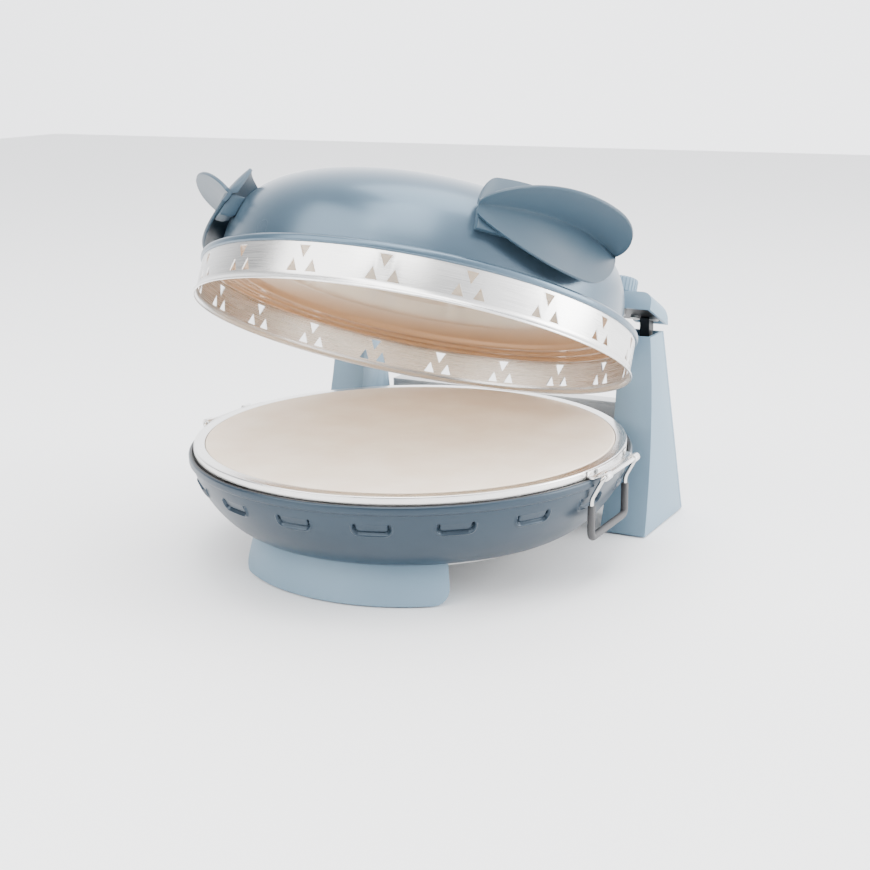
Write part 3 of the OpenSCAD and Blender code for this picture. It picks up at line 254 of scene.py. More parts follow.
def blend(material, factor, dark, light):
    """Mixes two colours, given as screen values, by a 0 to 1 value."""
    node = material.node_tree.nodes.new("ShaderNodeMix")
    node.data_type = "RGBA"
    node.inputs["A"].default_value = linear(*dark)
    node.inputs["B"].default_value = linear(*light)
    material.node_tree.links.new(factor, node.inputs["Factor"])
    return node.outputs["Result"]


def relief(material, shader, height, strength, distance):
    """Feeds a height into the shader's normal."""
    bump = material.node_tree.nodes.new("ShaderNodeBump")
    bump.inputs["Strength"].default_value = strength
    bump.inputs["Distance"].default_value = distance
    material.node_tree.links.new(height, bump.inputs["Height"])
    material.node_tree.links.new(bump.outputs["Normal"], shader.inputs["Normal"])


# %% Mottled finishes
def add_mottle(material):
    """The mottle group on Object coordinates, in one material."""
    place = material.node_tree.nodes.new("ShaderNodeTexCoord")
    mottle = material.node_tree.nodes.new("ShaderNodeGroup")
    mottle.node_tree = MOTTLE
    material.node_tree.links.new(place.outputs["Object"], mottle.inputs["Vector"])
    return mottle


def mottled(slot, dark, light, rough, cloud=14, grain=1500, bump=0.05, depth=0.0001,
            **shader_values):
    """A finish whose colour and roughness drift with Cloud and whose relief is Grain. cloud and
    grain are the noises' scales, per metre, and depth is in metres."""
    material, shader = start_finish(slot, **shader_values)
    mottle = add_mottle(material)
    mottle.inputs["Cloud Scale"].default_value = cloud
    mottle.inputs["Grain Scale"].default_value = grain
    drift, links = mottle.outputs["Cloud"], material.node_tree.links
    tone = spread(material, drift, 0, 1)
    links.new(blend(material, tone, dark, light), shader.inputs["Base Color"])
    links.new(spread(material, drift, *rough), shader.inputs["Roughness"])
    relief(material, shader, mottle.outputs["Grain"], bump, depth)


# %% Paint, plastics, ceramics and dark parts
mottled("blue_grey_enamel", (76, 97, 113), (82, 103, 119), (0.27, 0.33), grain=2600,
        depth=0.00005, metallic=0.55, coat=0.3, coat_roughness=0.2)
# Painted shade: a darker copy of blue_grey_enamel for the bowl, standing in for the shade on its
# wall.
mottled("bowl_enamel_painted_shade", (34, 50, 63), (39, 55, 68), (0.32, 0.38), grain=2600,
        depth=0.00005, metallic=0.4, coat=0.12, coat_roughness=0.25)
mottled("blue_grey_plastic", (115, 140, 158), (120, 145, 163), (0.42, 0.5), grain=1900,
        bump=0.1, depth=0.00008, specular=0.4)
mottled("pale_grey_plastic", (196, 196, 195), (206, 206, 205), (0.42, 0.52), grain=1900,
        bump=0.1, depth=0.00008, specular=0.4)
# Painted shade: a darker copy of blue_grey_plastic for the wings and their lugs, standing in for
# the shade on them.
mottled("wing_plastic_painted_shade", (50, 70, 84), (55, 75, 89), (0.36, 0.44), grain=1900,
        bump=0.08, depth=0.00008, specular=0.4)
mottled("zinc", (160, 162, 163), (186, 187, 186), (0.35, 0.5), cloud=60, metallic=0.9)
mottled("black_enamel", (22, 22, 23), (30, 30, 31), (0.4, 0.55))
mottled("reflector_coat", (240, 224, 202), (247, 236, 219), (0.17, 0.26), cloud=9, bump=0.06,
        metallic=0.55)
mottled("stone", (240, 224, 205), (247, 235, 219), (0.82, 0.92), cloud=35, grain=900, bump=0.35,
        depth=0.0003, specular=0.25)
mottled("steatite", (236, 230, 214), (244, 239, 226), (0.3, 0.45))
mottled("element_sheath", (62, 56, 52), (92, 82, 74), (0.45, 0.6), cloud=40, metallic=0.8)
mottled("sleeve_grey", (58, 58, 59), (68, 68, 69), (0.5, 0.6), grain=1200, bump=0.12)
mottled("black_plastic", (20, 20, 21), (28, 28, 29), (0.4, 0.55), bump=0.1)
mottled("rubber", (24, 24, 25), (33, 33, 34), (0.7, 0.85), bump=0.2)
mottled("bush_bronze", (150, 108, 58), (176, 132, 76), (0.35, 0.5), metallic=0.9)
mottled("polished_wire", (196, 195, 192), (214, 213, 210), (0.16, 0.22), metallic=1.0)
print("mottled finishes:", ", ".join(sorted(FINISHES)))

# %% [markdown]
# ## Brushed steel and the roof's painted shade
#
# These two follow the surface instead of the space around it, so they read the UV map that
# lathe makes. Brushing leaves hair lines that run round a turned piece: a noise that is squeezed
# across the lines draws them. The cream coat inside the lid darkens to brown towards its border:
# painted shade, which stands in for the shade that falls there. How dark it is depends only on
# the way out from the middle, which is the map's second coordinate.

# %% Brushed steel
HAIR_ALONG, HAIR_ACROSS = 25, 2600  # how often the noise changes in a metre, each way
STEEL_DARK, STEEL_LIGHT, STEEL_ROUGH = (222, 221, 219), (246, 245, 243), (0.2, 0.36)
HAIR_BUMP, HAIR_DEPTH = 0.12, 0.00005  # strength, and depth in metres


def surface_map(material):
    """The piece's own UV map, in metres."""
    uv = material.node_tree.nodes.new("ShaderNodeUVMap")
    uv.uv_map = "surface"
    return uv.outputs["UV"]


def make_brushed():
    """Steel with hair lines: a noise on the UV map, squeezed a hundred times finer across the
    lines than along them, sets the tone, the roughness and a slight relief."""
    material, shader = start_finish("brushed_steel", metallic=1.0)
    nodes, links = material.node_tree.nodes, material.node_tree.links
    squeeze = nodes.new("ShaderNodeMapping")
    squeeze.inputs["Scale"].default_value = (HAIR_ALONG, HAIR_ACROSS, 1)
    noise = nodes.new("ShaderNodeTexNoise")
    noise.inputs["Scale"].default_value = 1.0
    noise.inputs["Detail"].default_value = 4.0
    links.new(surface_map(material), squeeze.inputs["Vector"])
    links.new(squeeze.outputs["Vector"], noise.inputs["Vector"])
    hair = noise.outputs["Fac"]
    tone = spread(material, hair, 0, 1)
    links.new(blend(material, tone, STEEL_DARK, STEEL_LIGHT), shader.inputs["Base Color"])
    links.new(spread(material, hair, *STEEL_ROUGH), shader.inputs["Roughness"])
    relief(material, shader, hair, HAIR_BUMP, HAIR_DEPTH)


make_brushed()

# %% Roof coat
SHADE_FROM, SHADE_TO = 0.105, 0.152  # metres from the middle between which the painted shade darkens the coat
# The second colour is painted shade, which darkens the coat towards its border.
CREAM, BORDER_SHADE, ROOF_ROUGH = (247, 238, 222), (196, 160, 126), (0.17, 0.26)


def make_roof_coat():
    """Glossy cream enamel: a smooth step over the UV map's second coordinate darkens it towards
    its border with painted shade.
    """
    material, shader = start_finish("roof_coat", metallic=0.5)
    nodes, links = material.node_tree.nodes, material.node_tree.links
    parts = nodes.new("ShaderNodeSeparateXYZ")
    links.new(surface_map(material), parts.inputs["Vector"])
    way_out = nodes.new("ShaderNodeMapRange")
    way_out.interpolation_type = "SMOOTHSTEP"
    way_out.inputs["From Min"].default_value = SHADE_FROM
    way_out.inputs["From Max"].default_value = SHADE_TO
    links.new(parts.outputs["Y"], way_out.inputs["Value"])
    # Painted shade: the coat darkens towards its border.
    links.new(blend(material, way_out.outputs["Result"], CREAM, BORDER_SHADE),
              shader.inputs["Base Color"])
    drift = add_mottle(material).outputs["Cloud"]
    links.new(spread(material, drift, *ROOF_ROUGH), shader.inputs["Roughness"])


make_roof_coat()
print("all finishes:", len(FINISHES))

# %% Every solid starts with its own slot's finish
for part in frame["record"]["subparts"]:
    solid = frame["nodes"][part["node"]]
    solid.data.materials.clear()
    solid.data.materials.append(FINISHES[part["material_slot"]])


# %% Seat a finished piece
def finish(piece, body, slot, node, look=None):
    """Dresses a piece in its slot's finish, or in a named look, seats it on its body and hides
    the solid that it replaces."""
    piece.data.materials.clear()
    piece.data.materials.append(FINISHES[look or slot])
    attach(piece, body)
    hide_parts(node)
    size = " x ".join(f"{MM_IN_M * v:.0f}" for v in piece.dimensions)
    print(f"{piece.name}: {size} mm, {len(piece.data.polygons)} faces, on {body}")
    return piece


# %% [markdown]
# ## The bowl
#
# The base is one pressed bowl: a bulging wall, a step, and an upright rim with a rolled lip.
# Its cooling louvres are U-shaped cuts whose tongues are pressed inwards. Cutting them with a
# boolean would leave thin edges that shade badly, so the wall is a fine grid instead, and the
# tongues are a function that pushes its points in.

# %% Sizes of the bowl and its louvres
RIM_H, RIM_STEP, STEP_RISE = 7, 3, 1.5  # the upright rim, and the step that carries it
STEP_R, STEP_Z = BOWL_R - RIM_STEP, RIM_Z - RIM_H
FLOOR_R, FLOOR_Z, FLOOR_T, INNER_IN = 128, 30, 2, 5  # INNER_IN: the inner wall starts further in
BOWL_SQUARE = 1.5  # the power of the wall's superellipse
LOUVRES, LOUVRE_LEN, LOUVRE_Z, LOUVRE_RISE, LOUVRE_CORNER = 18, 26, 64, 8, 4.5
LOUVRE_R, LOUVRE_EDGE = 160, 2.5  # the wall's radius at the louvres; fine grid beside each
SLIT_FOOT, SLIT_GAIN = 1.3, 1.9  # the slit's depth at its foot, and what it gains upwards
SLIT_IN, SLIT_W = 0.9, 0.75  # how far inside the louvre's outline it lies, and its width
LIP_H, LIP_W = 1.05, 0.8  # the lip outside the outline: its height, and its width and place
TONGUE_IN, TONGUE_GAP, TONGUE_EDGE = 1.1, 0.5, 1.5  # depth, and where it starts to sink
TONGUE_FADE, END_FADE = 0.7, 1.5  # power of its fade upwards; height over which a slit ends
WALL_SLANT, PUSH_IN, PUSH_UP = 1.05, 0.9, 0.3  # length along the wall per height; its normal
ROWS_BELOW, ROWS_LOUVRE, ROWS_ABOVE = 13, 34, 5  # points up the outer wall
COLUMNS_LOUVRE, COLUMNS_BETWEEN = 62, 5  # points round the wall


# %% Curves of the bowl
def bulge(r, z, reach, rise, square, steps):
    """Points of a superellipse quarter from (r, z), steepening until it is reach further out
    and rise higher."""
    a = np.linspace(0, math.pi / 2, steps)
    return np.stack([r + reach * np.sin(a) ** (2 / square),
                     z + rise * (1 - np.cos(a) ** (2 / square))], axis=-1)


def louvre_depth(around, up):
    """How far a louvre moves the wall in, at around millimetres to its side and up millimetres
    above its lower edge. The distance inside a U-shaped line sets it: a lip stands out along
    the line, a slit lies just inside it, and the tongue sinks in and fades upwards."""
    x = np.abs(around)
    over, under = x - (LOUVRE_LEN / 2 - LOUVRE_CORNER), LOUVRE_CORNER - up
    inside = np.where((over > 0) & (under > 0), LOUVRE_CORNER - np.hypot(over, under),
                      np.minimum(LOUVRE_LEN / 2 - x, up))
    height = np.clip(up / LOUVRE_RISE, 0, 1)
    end = 1 - np.clip((up - LOUVRE_RISE + 1) / END_FADE, 0, 1)
    slit = (SLIT_FOOT + SLIT_GAIN * height) * np.exp(-((inside - SLIT_IN) / SLIT_W) ** 2)
    lip = LIP_H * np.exp(-((inside + LIP_W) / LIP_W) ** 2)
    sunk = np.clip((inside - TONGUE_GAP) / TONGUE_EDGE, 0, 1)
    return (slit - lip) * end + TONGUE_IN * sunk * (1 - height) ** TONGUE_FADE


def bowl_profile():
    """The bowl's closed outline, and which of its points are the outer wall. The wall's points
    crowd together at the louvres' height."""
    wall = bulge(FLOOR_R, FLOOR_Z, STEP_R - FLOOR_R, STEP_Z - FLOOR_Z, BOWL_SQUARE, steps=400)
    low, high = LOUVRE_Z - LOUVRE_EDGE, LOUVRE_Z + LOUVRE_RISE + 1
    heights = np.concatenate([np.linspace(FLOOR_Z, low, ROWS_BELOW)[:-1],
                              np.linspace(low, high, ROWS_LOUVRE),
                              np.linspace(high, STEP_Z, ROWS_ABOVE)[1:]])
    outer = np.stack([np.interp(heights, wall[:, 1], wall[:, 0]), heights], axis=-1)
    step = [[STEP_R + 0.4, STEP_Z + 0.05], [STEP_R + 1.4, STEP_Z + 0.3],
            [BOWL_R - 0.5, STEP_Z + 0.9], [BOWL_R, STEP_Z + STEP_RISE]]
    roll = np.array([[0, -4], [0, -1.6], [-0.25, -0.8], [-0.8, -0.2], [-1.4, 0], [-2.1, -0.1],
                     [-2.6, -0.5], [-2.6, -1.2], [-1.3, -1.4]]) + (BOWL_R, RIM_Z)
    back = [[BOWL_R - 1.2, STEP_Z + 1.6], [STEP_R - 4.5, STEP_Z + 1.4]]
    inner = bulge(FLOOR_R - INNER_IN, FLOOR_Z + FLOOR_T, STEP_R - FLOOR_R + 0.5,
                  STEP_Z - FLOOR_Z - FLOOR_T, BOWL_SQUARE, steps=8)[::-1]
    under = [[0, FLOOR_Z], [FLOOR_R / 2, FLOOR_Z]]
    profile = np.concatenate([under, outer, step, roll, back, inner, [[0, FLOOR_Z + FLOOR_T]]])
    row = np.arange(len(profile))
    return profile, (row >= len(under)) & (row < len(under) + len(outer))


# %% Bowl
def make_bowl():
    """The outline goes round the Z axis in columns that crowd together at the louvres, and
    louvre_depth moves the points of its outer wall."""
    profile, is_wall = bowl_profile()
    pitch = 360 / LOUVRES
    reach = math.degrees((LOUVRE_LEN / 2 + LOUVRE_EDGE) / LOUVRE_R)
    one = np.concatenate([np.linspace(-reach, reach, COLUMNS_LOUVRE),
                          np.linspace(reach, pitch - reach, COLUMNS_BETWEEN)[1:-1]])
    degrees = (np.arange(LOUVRES)[:, None] * pitch + one).ravel()
    angle = np.radians(degrees - 90)
    r, z = profile[:, 0, None], profile[:, 1, None]
    around = np.radians((degrees + pitch / 2) % pitch - pitch / 2) * r
    push = np.where(is_wall[:, None], louvre_depth(around, (z - LOUVRE_Z) * WALL_SLANT), 0)
    r, z = r - push * PUSH_IN, z + push * PUSH_UP
    points = np.stack([r * np.cos(angle), r * np.sin(angle), z + 0 * angle], axis=-1)
    piece = add_mesh("bowl_shell", points, grid_faces(len(profile), len(angle), True, True))
    shade(piece, angle=50)
    # The bowl wears the darker copy of its paint, which is painted shade.
    finish(piece, "base", "blue_grey_enamel", "base_bowl", look="bowl_enamel_painted_shade")


make_bowl()

# %% [markdown]
# ## The pan
#
# A black pan under the stone holds the heat. Its wall ends in a bead that the tray stands on,
# and its flange closes the gap inside the bowl's rim. It is one sheet, so one closed outline
# with its bends rounded is enough, and the lathe does the rest.

# %% Pan
PAN_R, PAN_Z, PAN_T = 118, 46, 0.9  # its floor
PAN_TOP_R, PAN_TOP_Z = 150, 72  # the top of its sloping wall
BEAD_R, BEAD_Z = 154.5, 84


def make_pan():
    """Floor, wall, bead and flange in one outline, out above and back below."""
    wall = [[0, PAN_Z], [PAN_R, PAN_Z], [PAN_TOP_R, PAN_TOP_Z]]
    bead = [[BEAD_R - 1.5, BEAD_Z - 1], [BEAD_R, BEAD_Z], [BEAD_R + 1.5, BEAD_Z - 1],
            [BEAD_R + 2, BEAD_Z - 3]]
    flange = np.array([[-2.6, -5.4], [-1.3, -4], [-2.5, -1.6], [-3.1, -0.7], [-2.4, 0.05],
                       [-1.1, 0.05], [-0.9, -0.5], [-1.1, -6.1]]) + (BOWL_R, RIM_Z)
    back = [[BEAD_R + 0.5, RIM_Z - 6.1], [PAN_TOP_R + 1, PAN_TOP_Z + 2],
            [PAN_TOP_R - 1.5, PAN_TOP_Z], [PAN_R - 0.5, PAN_Z + PAN_T], [0, PAN_Z + PAN_T]]
    bends = [SHARP, 6, 6, 1.5, 1, 1, 1, 1, 0.6, 0.4, 0.3, 0.5, 0.3, 0.2, 0.3, 1, 1, 3, 5, SHARP]
    pan = lathe("pan_sheet", fillet(np.concatenate([wall, bead, flange, back]), bends))
    finish(pan, "base", "black_enamel", "lower_pan")


make_pan()

# %% [markdown]
# ## Foot, columns and rear housing
#
# These are plastic mouldings. Their shapes are right in the frame, and what makes a moulding
# look real is the small radius on each edge, which catches the light. So each is a copy of the
# solid with its edges rounded by a Bevel modifier. The solid's loose triangles are first joined
# into flat faces, because a bevel follows edges.

# %% Rounded copies
DOUBLES, FLAT_ANGLE, EDGE_ANGLE = 2e-6, 1.5, 32  # metres; degrees of a flat face, of an edge


def bake(piece):
    """Puts what the modifiers made into the mesh and removes them."""
    graph = bpy.context.evaluated_depsgraph_get()
    made = bpy.data.meshes.new_from_object(piece.evaluated_get(graph))
    piece.modifiers.clear()
    piece.data = made


def soften(piece, width, angle, segments=2):
    """Rounds the edges that turn by more than angle degrees, width millimetres wide."""
    bevel = piece.modifiers.new("soft edges", "BEVEL")
    bevel.width = width / MM_IN_M
    bevel.segments = segments
    bevel.limit_method = "ANGLE"
    bevel.angle_limit = math.radians(angle)
    bake(piece)


def rounded_copy(name, node, body, slot, width, segments=3):
    """A moulding's own shape from the frame, with its edges rounded."""
    mesh = frame["nodes"][node].data.copy()
    mesh.transform(frame["nodes"][node].matrix_world)
    piece = bpy.data.objects.new(name, mesh)
    bpy.context.scene.collection.objects.link(piece)
    work = bmesh.new()
    work.from_mesh(mesh)
    bmesh.ops.remove_doubles(work, verts=work.verts, dist=DOUBLES)
    bmesh.ops.dissolve_limit(work, angle_limit=math.radians(FLAT_ANGLE), verts=work.verts,
                             edges=work.edges)
    work.to_mesh(mesh)
    work.free()
    soften(piece, width, EDGE_ANGLE, segments)
    shade(piece, EDGE_ANGLE)
    return finish(piece, body, slot, node)


# %% Mouldings of the base
rounded_copy("foot_moulding", "front_foot", "base", "blue_grey_plastic", width=1.2)
for side in ("left", "right"):
    for name, node, width in (("_column_moulding", "_column", 2.0),
                              ("_column_back", "_rear_cover", 0.8)):
        rounded_copy(side + name, side + node, "base", "blue_grey_plastic", width)
rounded_copy("housing_moulding", "rear_housing", "base", "pale_grey_plastic", width=1.2)
rounded_copy("inlet_moulding", "power_inlet", "base", "black_plastic", width=0.5, segments=2)

# %% [markdown]
# ## Tray and stone
#
# The baking stone lies in a folded steel ring, which the lathe makes. The ring's fold is
# rounded, and its flat top shows the brushing. The two brackets on it are small flat plates, so
# their brushing runs straight, along a UV map made from their own coordinates.

# %% Tray ring, stone and brackets
TRAY_R, TRAY_Z, TRAY_H, TRAY_WALL, LEDGE_R = 165.9, 84, 8, 1, 148  # LEDGE_R: its inner edge
STONE_R, STONE_T, STONE_GAP = 157, 7.4, 0.5  # the gap is round the stone
STONE_MID = 60  # a ring of points in its flat top, so that the faces there stay short


def make_tray():
    """The ring is a Z-shaped fold: a ledge under the stone, a wall and a narrow top."""
    in_r, top, w = STONE_R + STONE_GAP, TRAY_Z + TRAY_H, TRAY_WALL
    fold = [[LEDGE_R, TRAY_Z], [TRAY_R, TRAY_Z], [TRAY_R, top], [in_r, top], [in_r, top - w],
            [TRAY_R - w, top - w], [TRAY_R - w, TRAY_Z + w], [LEDGE_R, TRAY_Z + w]]
    ring = lathe("tray_fold", fillet(fold, [0.2, 1.2, 1.3, 0.45, 0.3, 0.6, 0.6, 0.2]), turns=256)
    finish(ring, "base", "brushed_steel", "tray_ring")


def make_stone():
    """A disc that rests on the ledge, its upper edge rounder than its lower one."""
    low = TRAY_Z + TRAY_WALL
    high = low + STONE_T
    disc = [[0, low], [STONE_R, low], [STONE_R, high], [STONE_MID, high], [0, high]]
    stone = lathe("stone_disc", fillet(disc, [SHARP, 1, 1.4, SHARP, SHARP]), turns=256)
    finish(stone, "base", "stone", "pizza_stone")


def map_along_y(piece):
    """The brushing of a small plate: a UV map in metres, along Y and across it."""
    places = np.empty(len(piece.data.vertices) * 3)
    piece.data.vertices.foreach_get("co", places)
    x, y, z = places.reshape(-1, 3).T
    set_uv(piece.data, np.stack([y, x + z], axis=-1))


make_tray()
make_stone()
for side in ("left", "right"):
    map_along_y(rounded_copy(side + "_bracket_plate", side + "_bracket", "base",
                             "brushed_steel", width=0.35, segments=2))

# %% [markdown]
# ## Bails
#
# Each bail is one bent wire with a dark sleeve over its grip. A curve object with a bevel could
# make it, but a ring of points carried along the path gives the same mesh with no modifier, and
# lets the sleeve's ends taper.

# %% Sizes of the bails
BAIL_X, BAIL_Z = 173.5, 87.3  # where the wire turns in the bracket's barrels
BAIL_HALF, BAIL_END, BAIL_DROP = 32, 22.1, 46  # half its width, its ends, its hanging depth
BAIL_SET, BAIL_STEP, BAIL_BEND = 9, 17, 3.2  # the legs' step in, how far down, their bends
WIRE_R, WIRE_SIDES, BEND_STEPS = 1.6, 20, 8
SLEEVE_R, SLEEVE_LEG, SLEEVE_BEND, SLEEVE_TAPER = 2.8, 24, 5, 0.5  # LEG: its way up a leg
SLEEVE_ENDS = np.array([[0, 0, 0.001], [0, 0, -0.6]])  # the taper's two rings, from the end
NOT_ALONG = (0.98, 0.0, 0.2)  # no stretch of a bail runs this way


# %% Bars along a path
def tube(name, path, radius):
    """A round bar along a smooth open path: rings of radius, which may change along the path,
    square to it. A direction that the path never takes keeps the rings from twisting."""
    along = np.gradient(path, axis=0)
    along /= np.linalg.norm(along, axis=1, keepdims=True)
    out = np.cross(along, NOT_ALONG)
    out /= np.linalg.norm(out, axis=1, keepdims=True)
    side = np.cross(along, out)
    angle = (np.arange(WIRE_SIDES) * 2 * math.pi / WIRE_SIDES)[None, :, None]
    r = np.broadcast_to(radius, len(path))[:, None, None]
    ring = path[:, None] + r * (np.cos(angle) * out[:, None] + np.sin(angle) * side[:, None])
    piece = add_mesh(name, ring, capped_faces(len(path), WIRE_SIDES))
    shade(piece, angle=60)
    return piece


def bent(points, radius):
    """An open path with its inner corners rounded."""
    p = np.asarray(points, dtype=float)
    corner = p[1:-1]
    curve = round_corners(corner, p[:-2] - corner, p[2:] - corner, radius, BEND_STEPS)
    return np.concatenate([p[:1], curve, p[-1:]])


# %% Bails
def make_bail(side, sign):
    """The wire leaves one barrel, steps in towards the bowl, goes down, across and up to the
    other barrel in the same way; the sleeve covers its grip and the lower part of its legs."""
    out, x = sign * BAIL_X, sign * (BAIL_X - BAIL_SET)
    step, low = BAIL_Z - BAIL_STEP, BAIL_Z - BAIL_DROP
    one_side = [[out, -BAIL_END, BAIL_Z], [out, -BAIL_HALF, BAIL_Z], [x, -BAIL_HALF, step],
                [x, -BAIL_HALF, low]]
    other_side = [[px, -py, pz] for px, py, pz in one_side[::-1]]
    wire = bent(one_side + other_side, BAIL_BEND)
    body = side + "_bail_body"
    finish(tube(side + "_bail_wire", wire, WIRE_R), body, "polished_wire", side + "_bail")
    top = low + SLEEVE_LEG
    grip = bent([[x, -BAIL_HALF, top], one_side[-1], other_side[0], [x, BAIL_HALF, top]],
                SLEEVE_BEND)
    grip = np.concatenate([grip[0] + SLEEVE_ENDS, grip[1:-1], grip[-1] + SLEEVE_ENDS[::-1]])
    radius = np.full(len(grip), SLEEVE_R)
    radius[[0, -1]] = SLEEVE_R - SLEEVE_TAPER
    finish(tube(side + "_bail_sleeve", grip, radius), body, "sleeve_grey", side + "_sleeve")


make_bail("left", -1)
make_bail("right", 1)

# %% [markdown]
# ## The lid
#
# The lid is a stack of turned sheets: a flared steel band with triangular vents, a rolled ring
# above it, the dome, and the stepped roof of the baking space inside. All are lathed in the
# lid's own frame and tipped up with it. The dome bulges more than a circle's arc would, and a
# superellipse gives that shape with one number.

# %% Dome and flange ring
DOME_WALL, FLANGE_R, FLANGE_T, LID_TURNS = 1.2, 168.5, 1.4, 256


def dome_line(radius, foot, top, steps):
    """A superellipse quarter from the dome's foot to its top, with points crowded evenly."""
    a = np.linspace(0, math.pi / 2, steps)
    return np.stack([radius * np.cos(a) ** (2 / DOME_SQUARE),
                     foot + (top - foot) * np.sin(a) ** (2 / DOME_SQUARE)], axis=-1)


def make_dome():
    """Outer and inner curve, closed along a narrow foot."""
    outer = dome_line(DOME_R, DOME_Z, DOME_TOP, steps=72)
    inner = dome_line(DOME_R - DOME_WALL, DOME_Z + 1, DOME_TOP - DOME_WALL, steps=48)[::-1]
    dome = lathe("dome_shell", np.concatenate([outer, inner]), TIP, LID_TURNS)
    finish(dome, "lid", "blue_grey_enamel", "lid_dome")


def make_flange():
    """The ring rises from the band, rolls over and slopes in under the dome's foot."""
    z, in_r, edge_r = BAND_H, BAND_R - 5, FLANGE_R - 2
    outside = [[in_r, z], [BAND_R + 0.6, z], [FLANGE_R, z + 0.9], [FLANGE_R, z + 4.2],
               [FLANGE_R - 2.6, z + 6], [DOME_R + 5, z + 6.3], [DOME_R + 2, DOME_Z],
               [DOME_R - 6, DOME_Z]]
    inside = [[DOME_R - 6, z + 5.8], [DOME_R + 2, z + 5.8], [DOME_R + 5, z + 5],
              [FLANGE_R - 4.2, z + 4.6], [edge_r, z + 3], [edge_r, z + FLANGE_T],
              [in_r, z + FLANGE_T]]
    flange = lathe("flange_ring", fillet(outside + inside, 1.2), TIP, LID_TURNS)
    finish(flange, "lid", "blue_grey_enamel", "lid_flange")


make_dome()
make_flange()

# %% [markdown]
# ## The vented band
#
# Steel sheet with clusters of three triangular vents. The holes go right through, so this is
# work for a Boolean modifier: one object holds a prism for each hole, and one cut makes them
# all. The modifier is baked at once, and the prisms are removed.

# %% Vented band
LIP_R, LIP_T, BAND_T, BAND_TURNS = 169, 1.4, 1, 288
VENTS, VENT_W, VENT_H, VENT_Z = 18, 8.6, 8.9, 6.5
VENT_GAP, VENT_SPACING = 0.3, 0.87  # above the lower pair; their way aside, in widths
CUT_REACH = 8  # how far the prisms reach in and out


def vent_prisms():
    """The corners of every prism. A cluster is two triangles that stand side by side and one
    that hangs above them; it is carried round the band, and in and out through the sheet."""
    up = np.array([[-VENT_W / 2, 0], [VENT_W / 2, 0], [0, VENT_H]])
    down = np.array([[-VENT_W / 2, VENT_H], [0, 0], [VENT_W / 2, VENT_H]])
    beside, high = VENT_W * VENT_SPACING, VENT_Z + VENT_H + VENT_GAP
    cluster = np.stack([down + [0, high], up + [-beside, VENT_Z], up + [beside, VENT_Z]])
    angle = np.radians(-90 + 360 / VENTS * np.arange(VENTS))
    across = np.stack([-np.sin(angle), np.cos(angle)], axis=-1)
    out = np.stack([np.cos(angle), np.sin(angle)], axis=-1)
    ends = []
    for reach in (BAND_R - CUT_REACH, BAND_R + CUT_REACH):
        flat = out[:, None, None] * reach + across[:, None, None] * cluster[None, ..., :1]
        tall = np.broadcast_to(cluster[None, ..., 1:], flat.shape[:-1] + (1,))
        ends.append(np.concatenate([flat, tall], axis=-1).reshape(-1, 3, 3))
    return np.concatenate(ends, axis=1)


def make_band():
    """The band's outline, turned, then the vents cut through it."""
    r, lip_in = BAND_R, LIP_R - LIP_T
    fold = [[LIP_R, 0], [LIP_R, 1.2], [r + 0.5, 3], [r, 5], [r, BAND_H], [r - BAND_T, BAND_H],
            [r - BAND_T, 5], [r - 0.6, 2.6], [lip_in, 1], [lip_in, 0]]
    rounds = [0.5, 0.6, 1, 1, 0.3, 0.3, 1, 1, 0.5, 0.5]
    band = lathe("band_sheet", fillet(fold, rounds), TIP, BAND_TURNS)
    prisms = vent_prisms()
    sides = [[0, 2, 1], [3, 4, 5], [0, 1, 4, 3], [1, 2, 5, 4], [2, 0, 3, 5]]
    faces = [[6 * k + corner for corner in f] for k in range(len(prisms)) for f in sides]
    cutter = add_mesh("vent_cutter", prisms, faces, TIP)
    cut = band.modifiers.new("vents", "BOOLEAN")
    cut.object = cutter
    cut.solver = "EXACT"
    bake(band)
    bpy.data.objects.remove(cutter)
    shade(band, angle=30)
    finish(band, "lid", "brushed_steel", "vent_band")


make_band()

# %% [markdown]
# ## The roof of the baking space
#
# A thin enamelled sheet under the dome: a shallow crown with two steps near its border, which
# stiffen it. The real one is smooth, so its section is a few points with rounded corners. It
# wears the look roof_coat, whose painted shade darkens it along the section outwards.

# %% Reflector
ROOF_R, ROOF_Z, ROOF_T = BAND_R - 1.3, BAND_H - 0.8, 0.8  # its border; the sheet's thickness
CROWN_Z, CROWN = 52, ((77.5, 50), (37.5, 44), (23.5, 36))  # in from the border, and height
TREADS = ((21.5, 13.5, 5), (12.5, 5.5, 2.5), (4.5, 0, 0))  # each from, to, above the border
ROOF_SHIFT = (0, 0, 0.4, 0.7, 0.7, 0.6, 0.6, 0.7, 0.7, 0)  # keeps the slopes' thickness
ROOF_BEND = 1.6


def make_reflector():
    """The lower line from the middle out, then the upper one back, a sheet's thickness above it
    and shifted outwards on the slopes."""
    low = [[0, CROWN_Z]] + [[ROOF_R - way, z] for way, z in CROWN]
    low += [[ROOF_R - way, ROOF_Z + rise] for *ways, rise in TREADS for way in ways]
    high = [[r + shift, z + ROOF_T] for (r, z), shift in zip(low, ROOF_SHIFT)][::-1]
    bends = [SHARP] + [ROOF_BEND] * 8 + [0.2]
    roof = lathe("reflector_sheet", fillet(low + high, bends + bends[::-1]), TIP, LID_TURNS)
    finish(roof, "lid", "reflector_coat", "lid_reflector", look="roof_coat")


make_reflector()

# %% [markdown]
# ## Wing handles
#
# Each wing is three thin blades that meet along one curved spine: a broad outer blade, an
# upright one and one that hangs down, with room for fingertips behind it. Modelling them by hand
# would leave seams where they meet. Here the section at each place along the spine is one closed
# outline that runs out and back along each blade, so the whole wing is a single grid with capped
# ends.

